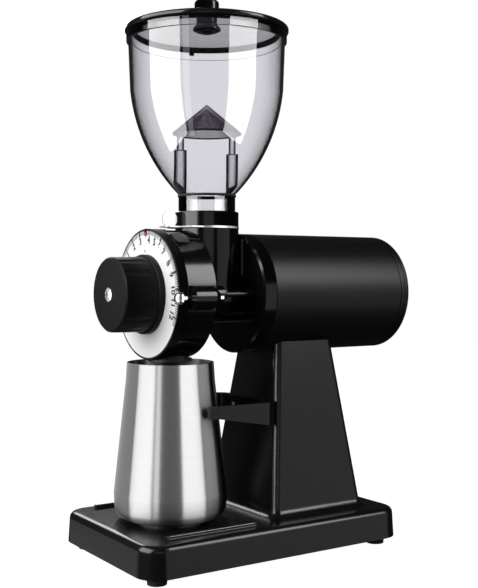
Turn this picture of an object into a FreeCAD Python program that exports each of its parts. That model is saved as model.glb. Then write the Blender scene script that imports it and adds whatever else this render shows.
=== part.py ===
import FreeCAD, Part
import math
import os

V = FreeCAD.Vector

# Sizes are in millimetres, +Z is up and the dial faces -Y. Places along Y are counted from the middle
# of the base; at the end all pieces move together so that the overall box stands centred on the origin.

# Base casting
base_length = 250.0
base_width = 156.0
base_height = 25.0
base_corner = 19.0
base_draft = 1.5
base_wall = 4.0
base_edge = 5.5

# Feet and bottom cover
foot_clearance = 7.0
foot_radius = 8.5
foot_taper = 1.0
foot_inset = 17.0
cover_recess = 0.5
cover_thickness = 1.5
cover_gap = 0.3
foot_boss_radius = 6.0
foot_screw_radius = 2.0
foot_screw_head = 4.0
foot_screw_head_height = 2.0
foot_screw_bite = 9.0
foot_recess_depth = 3.0
screw_gap = 0.1
screw_end_room = 1.0

# Column, measured at the deck and at a second height
column_front = 7.5
column_depth = 93.9
column_width = 104.4
column_rise = 144.0
column_front_lean = 17.6
column_rear_lean = 16.7
column_side_lean = 21.6
column_corner = 6.0
column_wall = 4.0
column_foot_fillet = 8.0
column_cap = 8.0
saddle_gap = 0.15
join_depth = 1.0

# Motor
axis_height = 217.0
motor_radius = 51.0
shell_wall = 2.0
flange_front = -2.2
flange_length = 12.4
seam_gap = 0.7
spigot_length = 5.5
spigot_gap = 0.2
shell_length = 136.4
cap_length = 10.6
cap_wall = 2.5
cap_end_wall = 3.0
cap_rounding = 4.0
cap_groove_from_seam = 4.0
cap_groove = 0.6
vent_count = 12
vent_turn = 15.0
vent_width = 3.2
vent_inner = 20.0
vent_outer = 38.0
cap_screw_count = 3
cap_screw_turn = 30.0
cap_screw_circle = 45.2
cap_screw_radius = 2.0
cap_screw_head = 3.6
cap_screw_head_height = 1.6
cap_screw_sink = 1.7
shell_lug_radius = 4.5
shell_lug_length = 9.0
motor_bolt_radius = 3.0
motor_bolt_head = 5.0
motor_bolt_head_height = 4.0
motor_bolt_front = 38.0
motor_bolt_spacing = 34.0
shaft_radius = 6.0
shaft_room = 1.0
rotor_seat_radius = 7.5
bearing_gap = 0.04
front_bearing_radius = 16.0
front_bearing_width = 9.0
rear_bearing_radius = 13.0
rear_bearing_width = 9.0
bearing_seat_gap = 0.05
bearing_groove_width = 3.2
bearing_groove_depth = 0.6
stator_front = 45.0
stator_length = 55.0
stator_wall = 18.4
stator_gap = 0.1
air_gap = 0.5
winding_length = 11.0
winding_step = 3.0
fan_radius = 38.0
fan_length = 11.0
fan_hub_radius = 11.0
fan_blade = 2.0
fan_blade_count = 8
fan_behind_stator = 17.0
core_fit = 0.02

# Grinder body: neck, throat and motor flange
neck_y = -26.0
neck_radius = 26.7
neck_bore = 20.0
neck_top = 271.6
throat_radius = 25.0
throat_bore = 20.0
throat_rear_wall = 6.8
throat_spigot_radius = 24.0
flange_front_wall = 5.0
flange_chamfer = 1.6
flange_pocket_radius = 42.0
bearing_boss_radius = 21.0
web_thickness = 4.0
web_reach = 40.0
flange_rib_radius = 2.4
flange_rib_x = 17.5
flange_rib_height = 46.0
seal_radius = 11.0
seal_length = 5.0
seal_gap = 0.1

# Burr housing, the drum behind the dial
drum_radius = 52.5
drum_front = -76.0
drum_length = 27.5
drum_wall = 4.5
drum_front_wall = 4.0
drum_rear_wall = 4.0
drum_edge = 1.2
drum_gap = 0.15
outlet_radius = 11.0
tie_bolt_x = 34.0
tie_bolt_radius = 2.3
tie_bolt_head = 4.4
tie_bolt_head_height = 2.0
tie_boss_radius = 7.0
tie_boss_length = 15.0
tie_nut_flats = 8.0
tie_nut_height = 4.0
tie_seat_radius = 4.0
tie_seat_length = 2.0

# Lock pin on the side of the drum
lug_drop = 2.0
lug_radius = 9.7
lug_set_back = 0.8
lug_length = 18.0
lug_taper = 6.0
lug_end_wall = 1.0
pin_outside_dial = 3.0
pin_radius = 2.2
pin_gap = 0.15
pin_dome_radius = 5.3
pin_dome_gap = 0.4
pin_tail = 5.0
spring_pocket_radius = 4.6
spring_pocket_length = 13.5
pin_collar_radius = 4.3
pin_collar_length = 1.5
spring_wire = 0.9
spring_turns = 6
spring_end_gap = 0.2

# Dial and knob
dial_radius = 53.3
dial_depth = 7.6
dial_run_gap = 0.4
dial_lip = 0.9
dial_plate_thickness = 0.8
dial_plate_gap = 0.05
dial_rim_wall = 5.0
dial_web = 2.5
dial_hub_radius = 16.0
dial_rounding = 0.5
knob_radius = 30.6
knob_length = 33.2
knob_dome = 0.8
knob_flange_radius = 32.4
knob_flange_length = 5.0
knob_flange_rounding = 1.5
knob_front_bevel = 1.2
knob_draft = 0.5
flute_count = 14
flute_turn = -10.0
flute_cutter = 14.0
flute_depth = 0.8
flute_stop = 7.5
knob_screw_head = 5.6
knob_screw_head_height = 2.4
knob_screw_radius = 2.5
knob_screw_recess = 6.1
knob_screw_recess_depth = 0.8
knob_screw_bite = 12.0
knob_screw_rounding = 2.2
spindle_radius = 8.0
spindle_in_knob = 16.0
spindle_fit = 0.05
pointer_width = 1.8
pointer_thickness = 0.8
pointer_seat = 10.0
pointer_drop = 5.6
pointer_gap = 0.3
pointer_seat_depth = 5.3

# Burrs and their carriers
burr_radius = 30.0
burr_bore = 17.0
burr_thickness = 5.0
burr_gap = 1.0
burr_teeth = 24
fixed_burr_turn = 7.5
tooth_depth = 1.5
tooth_offset = 9.0
tooth_width = 4.6
burr_screw_count = 3
burr_screw_turn = 30.0
burr_screw_circle = 23.5
burr_screw_radius = 1.6
burr_screw_head = 2.8
burr_screw_head_height = 1.6
rotating_carrier_thickness = 3.0
rotating_carrier_gap = 0.5
carrier_hub_radius = 8.3
feed_hole_count = 5
feed_hole_radius = 3.9
feed_hole_circle = 12.7
sweeper_reach = 45.0
sweeper_root = 2.0
sweeper_width = 8.0
shaft_end_proud = 1.5
fixed_carrier_thickness = 4.2
fixed_carrier_radius = 33.0
fixed_hub_radius = 13.0
fixed_hub_length = 8.6
thread_radius = 7.0
thread_length = 7.4
dowel_radius = 2.0
dowel_circle = 29.0
auger_radius = 18.4
auger_hub_radius = 8.6
auger_pitch = 18.0
auger_turns = 2.0
auger_flight = 3.0
auger_rear_gap = 1.0

# Spout and cup
cup_y = -61.5
cup_height = 129.0
cup_rim_radius = 35.8
cup_neck_drop = 15.0
cup_neck_radius = 36.8
cup_shoulder_height = 28.0
cup_shoulder_radius = 46.9
cup_belly_height = 12.0
cup_belly_radius = 45.0
cup_foot_radius = 41.0
cup_foot_rounding = 2.5
cup_wall = 1.2
cup_seat_gap = 0.2
spout_radius = 16.0
spout_bore = 12.5
spout_flange_radius = 18.2
spout_flange_height = 2.6
spout_over_cup = 0.9
spout_gap = 0.1
spout_rise = 10.5

# Fork behind the cup, and the rails beside it
fork_height = 127.0
fork_depth = 19.5
fork_tip_depth = 10.0
fork_half = 44.0
fork_arm = 4.6
fork_tip_y = -50.5
fork_back = 5.0
fork_corner = 14.0
fork_fillet = 9.4
tip_sleeve_length = 9.0
tip_sleeve_wall = 0.9
tip_gap = 0.1
tip_rounding = 1.6
fork_screw_x = 16.0
fork_screw_radius = 2.0
fork_screw_head = 4.0
fork_screw_head_height = 2.2
fork_screw_bite = 6.0
rail_inset = 15.6
rail_front = -99.0
rail_length = 80.0
rail_foot_width = 4.0
rail_foot_height = 1.0
rail_web = 1.4
rail_bead_radius = 1.0
rail_height = 3.2
rail_stop = 1.6
rail_stop_rounding = 0.9

# Bean gate and hopper collar
gate_thickness = 1.0
gate_clearance = 0.3
gate_half_width = 21.5
gate_side_gap = 0.2
tongue_half_width = 8.0
tongue_front = -69.0
tongue_rounding = 4.0
tab_radius = 6.8
tab_y = -62.0
tab_thickness = 1.2
collar_height = 12.3
collar_ledge = 2.8
collar_edge = 0.8
hopper_gap = 0.3

# Hopper, cone and lid
spigot_radius = 23.9
hopper_wall = 2.5
hopper_neck_length = 24.0
hopper_seat_gap = 0.2
bell_mid_rise = 31.6
bell_mid_radius = 47.1
bell_top_rise = 86.9
bell_top_radius = 64.2
hopper_rim_radius = 65.7
hopper_band_radius = 67.3
hopper_band_height = 7.1
hopper_height = 158.0
socket_radius = 5.2
socket_circle = 25.6
socket_top = 60.0
socket_depth = 16.0
post_radius = 3.0
post_gap = 0.1
cone_radius = 29.1
cone_height = 24.1
cone_rise = 74.8
cone_wall = 2.0
cone_rim = 1.2
lid_seat_gap = 0.2
lid_gap = 0.4
lid_radius = 68.8
lid_bead_height = 5.2
lid_plug_wall = 2.0
lid_plug_depth = 1.6
lid_disc_thickness = 2.0
lid_disc_gap = 0.1
lid_knob_radius = 10.3
lid_knob_height = 23.4
lid_knob_cap = 12.0
lid_knob_neck = 8.6
lid_knob_foot = 11.6
lid_knob_foot_height = 1.6
lid_knob_rounding = 3.0
lid_screw_radius = 2.4
lid_washer_radius = 9.2
lid_washer_thickness = 0.8
lid_screw_bite = 14.0
lid_screw_head = 4.3
lid_screw_head_height = 2.4
lid_rim_rounding = 2.2

# Switch, electrics and cord gland
switch_y = 66.0
switch_rise = 75.0
switch_width = 15.0
switch_height = 22.0
switch_bezel = 2.5
switch_bezel_proud = 1.5
switch_depth = 18.0
switch_wall = 1.5
rocker_gap = 0.7
rocker_pivot_depth = 2.5
rocker_proud = 2.4
rocker_dish = 1.8
rocker_body = 5.0
rocker_tilt = 7.0
rocker_pivot_radius = 1.5
rocker_side_gap = 0.3
capacitor_radius = 16.0
capacitor_length = 58.0
capacitor_rounding = 1.5
capacitor_y = 70.0
terminal_length = 26.0
terminal_width = 18.0
terminal_height = 14.0
terminal_y = 42.0
terminal_count = 3
terminal_well_radius = 2.2
terminal_well_depth = 8.4
gland_radius = 7.5
gland_bore = 3.6
gland_proud = 12.0
gland_thread_radius = 5.2
gland_nut_radius = 6.6
gland_nut = 3.0
gland_rise = 9.2
gland_rounding = 2.0

# Heights and places that follow from the sizes above
base_bottom = foot_clearance
deck_top = base_bottom + base_height
cover_bottom = base_bottom + cover_recess
cover_top = cover_bottom + cover_thickness
base_ceiling = deck_top - base_wall
flange_rear = flange_front + flange_length
shell_front = flange_rear + seam_gap
shell_rear = shell_front + shell_length
cap_front = shell_rear + seam_gap
cap_rear = cap_front + cap_length
shell_bore = motor_radius - shell_wall
stator_radius = shell_bore - stator_gap
stator_bore = stator_radius - stator_wall
rotor_radius = stator_bore - air_gap
stator_rear = stator_front + stator_length
front_bearing_front = flange_front + flange_front_wall
rear_bearing_rear = cap_rear - cap_end_wall - 2.0 * bearing_seat_gap
drum_rear = drum_front + drum_length
chamber_front = drum_front + drum_front_wall
chamber_rear = drum_rear - drum_rear_wall
drum_middle = 0.5 * (drum_front + drum_rear)
rotating_carrier_rear = chamber_rear - rotating_carrier_gap
rotating_burr_rear = rotating_carrier_rear - rotating_carrier_thickness
rotating_burr_front = rotating_burr_rear - burr_thickness
fixed_burr_rear = rotating_burr_front - burr_gap
fixed_burr_front = fixed_burr_rear - burr_thickness
fixed_carrier_front = fixed_burr_front - fixed_carrier_thickness
dial_rear = drum_front - dial_run_gap
dial_front = dial_rear - dial_depth
knob_rear = dial_front
knob_front = knob_rear - knob_length
knob_screw_seat = knob_front - knob_dome + knob_screw_recess_depth
pin_x = dial_radius + pin_outside_dial
pin_z = axis_height - lug_drop
lug_front = drum_front + lug_set_back
lug_rear = lug_front + lug_length + lug_taper
gate_slot = gate_thickness + 2.0 * gate_clearance
gate_bottom = neck_top + gate_clearance
collar_bottom = neck_top + gate_slot
collar_top = collar_bottom + collar_height
hopper_bottom = collar_bottom + collar_ledge + hopper_seat_gap
hopper_top = hopper_bottom + hopper_height
collar_bore = spigot_radius + hopper_gap
cup_bottom = deck_top + cup_seat_gap
cup_top = cup_bottom + cup_height
spout_bottom = cup_top + spout_over_cup
lid_bottom = hopper_top + lid_seat_gap


def rod_x(radius, x_from, x_to, y, z):
    return Part.makeCylinder(radius, x_to - x_from, V(x_from, y, z), V(1, 0, 0))


def rod_y(radius, y_from, y_to, x=0.0, z=axis_height):
    return Part.makeCylinder(radius, y_to - y_from, V(x, y_from, z), V(0, 1, 0))


def rod_z(radius, z_from, z_to, x=0.0, y=0.0):
    return Part.makeCylinder(radius, z_to - z_from, V(x, y, z_from), V(0, 0, 1))


def block(x_from, x_to, y_from, y_to, z_from, z_to):
    return Part.makeBox(x_to - x_from, y_to - y_from, z_to - z_from, V(x_from, y_from, z_from))


def tube_y(outer, inner, y_from, y_to, x=0.0, z=axis_height):
    return rod_y(outer, y_from, y_to, x, z).cut(rod_y(inner, y_from, y_to, x, z))


def prism(corners, along):
    wire = Part.makePolygon(corners + corners[:1])
    return Part.Face(wire).extrude(along)


def around_y(shape, count, start=0.0):
    copies = []
    for i in range(count):
        copy = shape.copy()
        copy.rotate(V(0, 0, axis_height), V(0, 1, 0), start + 360.0 * i / count)
        copies.append(copy)
    return copies


def rounded_rectangle(x_half, y_from, y_to, corner, z):
    """A closed wire at height z with four round corners."""
    diagonal = corner * (1.0 - math.sqrt(0.5))
    edges = []
    points = [
        (x_half, y_from, 1, 1),
        (x_half, y_to, 1, -1),
        (-x_half, y_to, -1, -1),
        (-x_half, y_from, -1, 1),
    ]
    arcs = []
    for i, (x, y, x_side, y_side) in enumerate(points):
        on_side = V(x, y + y_side * corner, z)
        on_end = V(x - x_side * corner, y, z)
        middle = V(x - x_side * diagonal, y + y_side * diagonal, z)
        first, last = (on_end, on_side) if i % 2 == 0 else (on_side, on_end)
        arcs.append((first, middle, last))
    for i, (first, middle, last) in enumerate(arcs):
        edges.append(Part.Arc(first, middle, last).toShape())
        edges.append(Part.LineSegment(last, arcs[(i + 1) % 4][0]).toShape())
    return Part.Wire(edges)


def slab(x_half, y_from, y_to, corner, z_from, z_to, draft=0.0):
    low = rounded_rectangle(x_half, y_from, y_to, corner, z_from)
    high = rounded_rectangle(x_half - draft, y_from + draft, y_to - draft, corner - draft, z_to)
    return Part.makeLoft([low, high], True, True)


def turned_z(edges, y):
    """Revolve a profile of edges drawn in the XZ plane at the given y about the vertical there."""
    return Part.Face(Part.Wire(edges)).revolve(V(0, y, 0), V(0, 0, 1), 360)


def line(a, b):
    return Part.LineSegment(a, b).toShape()


def arc(a, middle, b):
    return Part.Arc(a, middle, b).toShape()


def outline_z(points, y):
    """Edges of a closed polygon of (radius, height) points."""
    corners = [V(radius, y, height) for radius, height in points]
    return [line(a, b) for a, b in zip(corners, corners[1:] + corners[:1])]


def edges_near(shape, test):
    return [edge for edge in shape.Edges if test(edge.BoundBox)]


def column_section(z, inset):
    """The column's outline at height z, moved in by the wall for the hollow."""
    share = (z - deck_top) / column_rise
    half = 0.5 * column_width - column_side_lean * share - inset
    front = column_front + column_front_lean * share + inset
    rear = column_front + column_depth - column_rear_lean * share - inset
    corner = column_corner - 0.5 * inset
    return rounded_rectangle(half, front, rear, corner, z)


def column_solid(z_from, z_to, inset=0.0):
    return Part.makeLoft([column_section(z_from, inset), column_section(z_to, inset)], True, True)


def foot_places():
    x = 0.5 * base_width - foot_inset
    y = 0.5 * base_length - foot_inset
    return [(x, -y), (x, y), (-x, y), (-x, -y)]


def fork_screw_places():
    return [(-fork_screw_x, fork_height - 0.5 * fork_depth), (fork_screw_x, fork_height - 0.5 * fork_depth)]


def motor_bolt_places():
    return [motor_bolt_front, motor_bolt_front + motor_bolt_spacing]


def switch_place(shape):
    """Lean a shape that was made about the origin and set it into the left side of the column."""
    lean = math.degrees(math.atan(column_side_lean / column_rise))
    x = 0.5 * column_width - column_side_lean * switch_rise / column_rise
    shape.rotate(V(0, 0, 0), V(0, 1, 0), lean)
    shape.translate(V(-x, switch_y, deck_top + switch_rise))
    return shape


def switch_box(margin, x_from, x_to):
    return block(x_from, x_to, -0.5 * switch_width - margin, 0.5 * switch_width + margin,
                 -0.5 * switch_height - margin, 0.5 * switch_height + margin)


def base_casting():
    half = 0.5 * base_width
    end = 0.5 * base_length
    foot = slab(half, -end, end, base_corner, base_bottom, deck_top, base_draft)
    foot = foot.makeFillet(base_edge, edges_near(foot, lambda b: b.ZMin > deck_top - 0.01))
    casting = foot.fuse(column_solid(deck_top - join_depth, axis_height)).removeSplitter()
    reach = 0.5 * column_width + 1.0
    foot_edges = edges_near(casting, lambda b: abs(b.ZMax - deck_top) < 0.01
                            and abs(b.ZMin - deck_top) < 0.01
                            and b.XMax < reach and b.XMin > -reach
                            and b.YMin > column_front - 1.0 and b.YMax < column_front + column_depth + 1.0)
    casting = casting.makeFillet(column_foot_fillet, foot_edges)
    casting = casting.cut(rod_y(motor_radius + saddle_gap, -end, cap_rear))
    hollow = slab(half - base_wall, base_wall - end, end - base_wall, base_corner - base_wall,
                  base_bottom, base_ceiling)
    column_top = axis_height - motor_radius - column_cap
    hollow = hollow.fuse(column_solid(base_ceiling - join_depth, column_top, column_wall))
    bosses = [rod_z(foot_boss_radius, cover_top, base_ceiling, x, y) for x, y in foot_places()]
    hollow = hollow.cut(Part.makeCompound(bosses))
    casting = casting.cut(hollow)
    foot_hole_end = cover_top + foot_screw_bite + screw_end_room
    holes = [rod_z(foot_screw_radius + screw_gap, cover_top, foot_hole_end, x, y) for x, y in foot_places()]
    holes += [rod_z(motor_bolt_radius + screw_gap, column_top - join_depth, axis_height, 0.0, y)
              for y in motor_bolt_places()]
    fork_hole_end = column_face_y(fork_height) + fork_screw_bite + screw_end_room
    holes += [rod_y(fork_screw_radius + screw_gap, 0.0, fork_hole_end, x, z) for x, z in fork_screw_places()]
    holes.append(rod_y(gland_thread_radius + screw_gap, end - 2.0 * base_wall, end + 1.0, 0.0,
                       base_bottom + gland_rise))
    holes.append(switch_place(switch_box(screw_gap, -switch_depth, switch_depth)))
    return casting.cut(Part.makeCompound(holes))


def bottom_cover():
    inset = base_wall + cover_gap
    half = 0.5 * base_width - inset
    end = 0.5 * base_length - inset
    cover = slab(half, -end, end, base_corner - inset, cover_bottom, cover_top)
    holes = [rod_z(foot_screw_radius + screw_gap, cover_bottom, cover_top, x, y) for x, y in foot_places()]
    return cover.cut(Part.makeCompound(holes))


def rubber_feet():
    feet = []
    for x, y in foot_places():
        foot = Part.makeCone(foot_radius - foot_taper, foot_radius, cover_bottom, V(x, y, 0))
        foot = foot.cut(rod_z(foot_screw_head + 0.5, 0.0, foot_recess_depth, x, y))
        feet.append(foot.cut(rod_z(foot_screw_radius + screw_gap, 0.0, cover_bottom, x, y)))
    return Part.makeCompound(feet)


def foot_screws():
    screws = []
    for x, y in foot_places():
        head = rod_z(foot_screw_head, foot_recess_depth - foot_screw_head_height, foot_recess_depth, x, y)
        shank = rod_z(foot_screw_radius, foot_recess_depth, cover_top + foot_screw_bite, x, y)
        screws.append(head.fuse(shank))
    return Part.makeCompound(screws)


def guide_rail(side):
    x = side * (0.5 * base_width - rail_inset)
    rear = rail_front + rail_length
    bead_z = deck_top + rail_height - rail_bead_radius
    foot = block(x - 0.5 * rail_foot_width, x + 0.5 * rail_foot_width, rail_front, rear,
                 deck_top, deck_top + rail_foot_height)
    web = block(x - 0.5 * rail_web, x + 0.5 * rail_web, rail_front, rear, deck_top, bead_z)
    bead = rod_y(rail_bead_radius, rail_front, rear, x, bead_z)
    stop = block(x - 0.5 * rail_foot_width, x + 0.5 * rail_foot_width, rail_front - rail_stop, rail_front,
                 deck_top, deck_top + rail_height)
    upper = edges_near(stop, lambda b: b.ZMin > deck_top + 1.0 and b.YLength > 1.0)
    stop = stop.makeFillet(rail_stop_rounding, upper)
    return foot.fuse([web, bead, stop]).removeSplitter()


def column_face_y(z):
    """Where the column's leaning front face stands at height z."""
    return column_front + column_front_lean * (z - deck_top) / column_rise


def fork_root_y():
    return column_face_y(fork_height - fork_depth) - fork_back


def fork_taper():
    """The wedge that is missing under the arms, which grow shallower towards their tips."""
    low = fork_height - fork_depth
    tip_low = fork_height - fork_tip_depth
    reach = 2.0 * fork_half
    corners = [
        V(-reach, fork_root_y(), low - fork_depth),
        V(-reach, fork_root_y(), low),
        V(-reach, fork_tip_y + tip_sleeve_length, tip_low),
        V(-reach, fork_tip_y - fork_depth, tip_low),
        V(-reach, fork_tip_y - fork_depth, low - fork_depth),
    ]
    return prism(corners, V(2.0 * reach, 0, 0))


def arm_end(side, inset, y_from, y_to):
    """The straight end of one arm, drawn in from its faces by the inset."""
    inner = side * (fork_half - fork_arm + inset)
    outer = side * (fork_half - inset)
    return block(min(inner, outer), max(inner, outer), y_from, y_to,
                 fork_height - fork_tip_depth + inset, fork_height - inset)


def cup_fork():
    low = fork_height - fork_depth
    sleeve_y = fork_tip_y + tip_sleeve_length
    rear = column_face_y(fork_height)
    inner = fork_half - fork_arm
    outside = block(-fork_half, fork_half, sleeve_y, rear, low, fork_height)
    outside = outside.makeFillet(fork_corner, edges_near(outside, lambda b: b.YMin > rear - 0.01
                                                         and b.ZLength > 1.0 and b.XLength < 0.01))
    room = block(-inner, inner, fork_tip_y, fork_root_y(), low, fork_height)
    room = room.makeFillet(fork_fillet, edges_near(room, lambda b: b.YMin > fork_root_y() - 0.01
                                                   and b.ZLength > 1.0 and b.XLength < 0.01))
    fork = outside.cut(room).cut(fork_taper())
    inset = tip_sleeve_wall + tip_gap
    fork = fork.fuse([arm_end(side, inset, fork_tip_y + 2.0 * inset, sleeve_y) for side in (-1, 1)])
    fork = fork.removeSplitter().cut(column_solid(deck_top, axis_height))
    holes = [rod_y(fork_screw_radius + screw_gap, fork_root_y(), rear, x, z) for x, z in fork_screw_places()]
    return fork.cut(holes)


def fork_tips():
    sleeve_y = fork_tip_y + tip_sleeve_length
    tips = []
    for side in (-1, 1):
        tip = arm_end(side, 0.0, fork_tip_y, sleeve_y - tip_gap)
        tip = tip.makeFillet(tip_rounding, edges_near(tip, lambda b: b.YMax < fork_tip_y + 0.01))
        tips.append(tip.cut(arm_end(side, tip_sleeve_wall, fork_tip_y + 2.0 * tip_sleeve_wall, sleeve_y)))
    return Part.makeCompound(tips)


def fork_screws():
    root_y = fork_root_y()
    deep = column_face_y(fork_height) + fork_screw_bite
    screws = []
    for x, z in fork_screw_places():
        head = rod_y(fork_screw_head, root_y - fork_screw_head_height, root_y, x, z)
        screws.append(head.fuse(rod_y(fork_screw_radius, root_y, deep, x, z)))
    return Part.makeCompound(screws)


def grinder_body():
    flange = rod_y(motor_radius, flange_front, flange_rear)
    flange = flange.makeChamfer(flange_chamfer, edges_near(flange, lambda b: b.YMax < flange_front + 0.01))
    spigot = rod_y(shell_bore - spigot_gap, flange_rear, flange_rear + spigot_length)
    throat = rod_y(throat_radius, drum_rear, flange_front)
    lip = rod_y(throat_spigot_radius, chamber_rear, drum_rear)
    neck = rod_z(neck_radius, axis_height, neck_top, 0.0, neck_y)
    web = block(-0.5 * web_thickness, 0.5 * web_thickness, neck_y, flange_front,
                axis_height, axis_height + web_reach)
    ribs = [rod_z(flange_rib_radius, axis_height, axis_height + flange_rib_height, x, flange_front)
            for x in (-flange_rib_x, flange_rib_x)]
    seats = [rod_y(tie_seat_radius, flange_front - tie_seat_length, flange_front, x)
             for x in (-tie_bolt_x, tie_bolt_x)]
    body = flange.fuse([spigot, throat, lip, neck, web] + ribs + seats).removeSplitter()
    boss = rod_y(bearing_boss_radius, flange_front, flange_rear)
    pocket = rod_y(flange_pocket_radius, front_bearing_front, flange_rear + spigot_length).cut(boss)
    throat_rear = flange_front - throat_rear_wall
    cuts = [
        rod_y(drum_radius + drum_gap, drum_front, chamber_rear),
        tube_y(drum_radius + drum_gap, throat_spigot_radius, chamber_rear, drum_rear),
        rod_y(throat_bore, chamber_rear, throat_rear),
        rod_z(neck_bore, axis_height, neck_top, 0.0, neck_y),
        rod_y(shaft_radius + shaft_room, throat_rear, flange_rear),
        rod_y(seal_radius + seal_gap, throat_rear, throat_rear + seal_length),
        rod_y(front_bearing_radius + bearing_seat_gap, front_bearing_front, flange_rear),
        pocket,
    ]
    for x in (-tie_bolt_x, tie_bolt_x):
        cuts.append(rod_y(tie_bolt_radius + screw_gap, flange_front - tie_seat_length, flange_rear, x))
    return body.cut(cuts)


def burr_housing():
    drum = rod_y(drum_radius, drum_front, drum_rear)
    drum = drum.makeFillet(drum_edge, edges_near(drum, lambda b: b.YLength < 0.01))
    lug = rod_y(lug_radius, lug_front, lug_front + lug_length, pin_x, pin_z)
    taper = Part.makeCone(lug_radius, spring_pocket_radius + lug_end_wall, lug_taper,
                          V(pin_x, lug_front + lug_length, pin_z), V(0, 1, 0))
    bosses = [rod_y(tie_boss_radius, drum_rear - drum_edge, drum_rear + tie_boss_length, x)
              for x in (-tie_bolt_x, tie_bolt_x)]
    housing = drum.fuse([lug, taper] + bosses).removeSplitter()
    neck_room = rod_z(neck_radius + drum_gap, axis_height, neck_top, 0.0, neck_y).cut(
        block(-neck_radius, neck_radius, drum_front, drum_rear, axis_height, neck_top))
    chamber = rod_y(drum_radius - drum_wall, chamber_front, chamber_rear)
    cuts = [
        chamber,
        neck_room,
        rod_y(spindle_radius + spindle_fit, drum_front, chamber_front),
        rod_y(throat_spigot_radius + drum_gap, chamber_rear, drum_rear),
        rod_z(outlet_radius, axis_height - drum_radius, axis_height - drum_radius + 2.0 * drum_wall,
              0.0, drum_middle),
        rod_y(pin_radius + pin_gap, drum_front, lug_rear, pin_x, pin_z),
        rod_y(spring_pocket_radius, lug_rear - spring_pocket_length, drum_rear, pin_x, pin_z),
    ]
    for x in (-tie_bolt_x, tie_bolt_x):
        cuts.append(rod_y(tie_bolt_radius + screw_gap, chamber_rear, drum_rear + tie_boss_length, x))
        cuts.append(rod_y(tie_bolt_head + screw_gap, chamber_rear, chamber_rear + tie_bolt_head_height, x))
    for x in (-dowel_circle, dowel_circle):
        cuts.append(rod_y(dowel_radius, drum_front + 0.5 * drum_front_wall, chamber_front, x))
    for cut in cuts:
        housing = housing.cut(cut)
    return housing


def tie_bolts():
    bolts = []
    for x in (-tie_bolt_x, tie_bolt_x):
        head = rod_y(tie_bolt_head, chamber_rear, chamber_rear + tie_bolt_head_height, x)
        shank = rod_y(tie_bolt_radius, chamber_rear + tie_bolt_head_height, front_bearing_front, x)
        bolts.append(head.fuse(shank))
    return Part.makeCompound(bolts)


def tie_nuts():
    front = drum_rear + tie_boss_length
    corner = tie_nut_flats / math.sqrt(3.0)
    nuts = []
    for x in (-tie_bolt_x, tie_bolt_x):
        corners = []
        for i in range(6):
            angle = math.radians(60.0 * i)
            corners.append(V(x + corner * math.cos(angle), front, axis_height + corner * math.sin(angle)))
        nut = prism(corners, V(0, tie_nut_height, 0))
        nuts.append(nut.cut(rod_y(tie_bolt_radius + screw_gap, front, front + tie_nut_height, x)))
    return Part.makeCompound(nuts)


def lock_pin():
    dome_rear = dial_front - pin_dome_gap
    dome = Part.makeSphere(pin_dome_radius, V(pin_x, dome_rear, pin_z), V(0, -1, 0), 0, 90, 360)
    shank = rod_y(pin_radius, dome_rear, lug_rear + pin_tail, pin_x, pin_z)
    collar = rod_y(pin_collar_radius, lug_rear - pin_collar_length, lug_rear, pin_x, pin_z)
    return dome.fuse([shank, collar]).removeSplitter()


def lock_spring():
    """One unbroken wire wound about the pin, between the pocket's end and the pin's collar."""
    radius = 0.5 * (spring_pocket_radius + pin_radius)
    front = lug_rear - spring_pocket_length + spring_end_gap + 0.5 * spring_wire
    rear = lug_rear - pin_collar_length - spring_end_gap - 0.5 * spring_wire
    pitch = (rear - front) / spring_turns

    def on_helix(turn):
        angle = 2.0 * math.pi * turn
        return V(pin_x + radius * math.cos(angle), front + pitch * turn, pin_z + radius * math.sin(angle))

    quarters = [0.25 * i for i in range(4 * spring_turns)]
    path = Part.Wire([arc(on_helix(q), on_helix(q + 0.125), on_helix(q + 0.25)) for q in quarters])
    start = on_helix(0.0)
    ahead = path.Edges[0].tangentAt(path.Edges[0].FirstParameter)
    section = Part.Wire(Part.makeCircle(0.5 * spring_wire, start, ahead))
    eighths = [0.125 * i for i in range(8 * (spring_turns - 1) + 1)]
    gaps = [on_helix(a).distanceToPoint(on_helix(b + 1.0)) - spring_wire for a in eighths for b in eighths
            if abs(a - b) < 0.5]
    print("lock spring least gap between turns", round(min(gaps), 2))
    return path.makePipeShell([section], True, False)


def dial_ring():
    ring = rod_y(dial_radius, dial_front, dial_rear)
    ring = ring.makeFillet(dial_rounding, edges_near(ring, lambda b: b.YMax < dial_front + 0.01))
    ring = ring.cut(rod_y(dial_radius - dial_lip, dial_front, dial_front + dial_plate_thickness))
    pocket = tube_y(dial_radius - dial_rim_wall, dial_hub_radius,
                    dial_front + dial_plate_thickness + dial_web, dial_rear)
    return ring.cut(pocket).cut(rod_y(spindle_radius + spindle_fit, dial_front, dial_rear))


def dial_plate():
    radius = dial_radius - dial_lip - dial_plate_gap
    rear = dial_front + dial_plate_thickness
    return tube_y(radius, spindle_radius + spindle_fit, dial_front, rear)


def dial_pointer():
    half = 0.5 * pointer_width
    under = axis_height + dial_radius + pointer_gap
    top = under + pointer_thickness
    lip_rear = dial_front - pointer_gap
    lip_front = lip_rear - pointer_thickness
    strip = block(-half, half, lip_front, drum_front + pointer_seat, under, top)
    lip = block(-half, half, lip_front, lip_rear, under - pointer_drop, top)
    seat = block(-half, half, drum_front + 2.0 * drum_edge, drum_front + pointer_seat,
                 axis_height + drum_radius - pointer_seat_depth, top)
    return strip.fuse([lip, seat]).cut(rod_y(drum_radius, drum_front, drum_rear)).removeSplitter()


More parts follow.
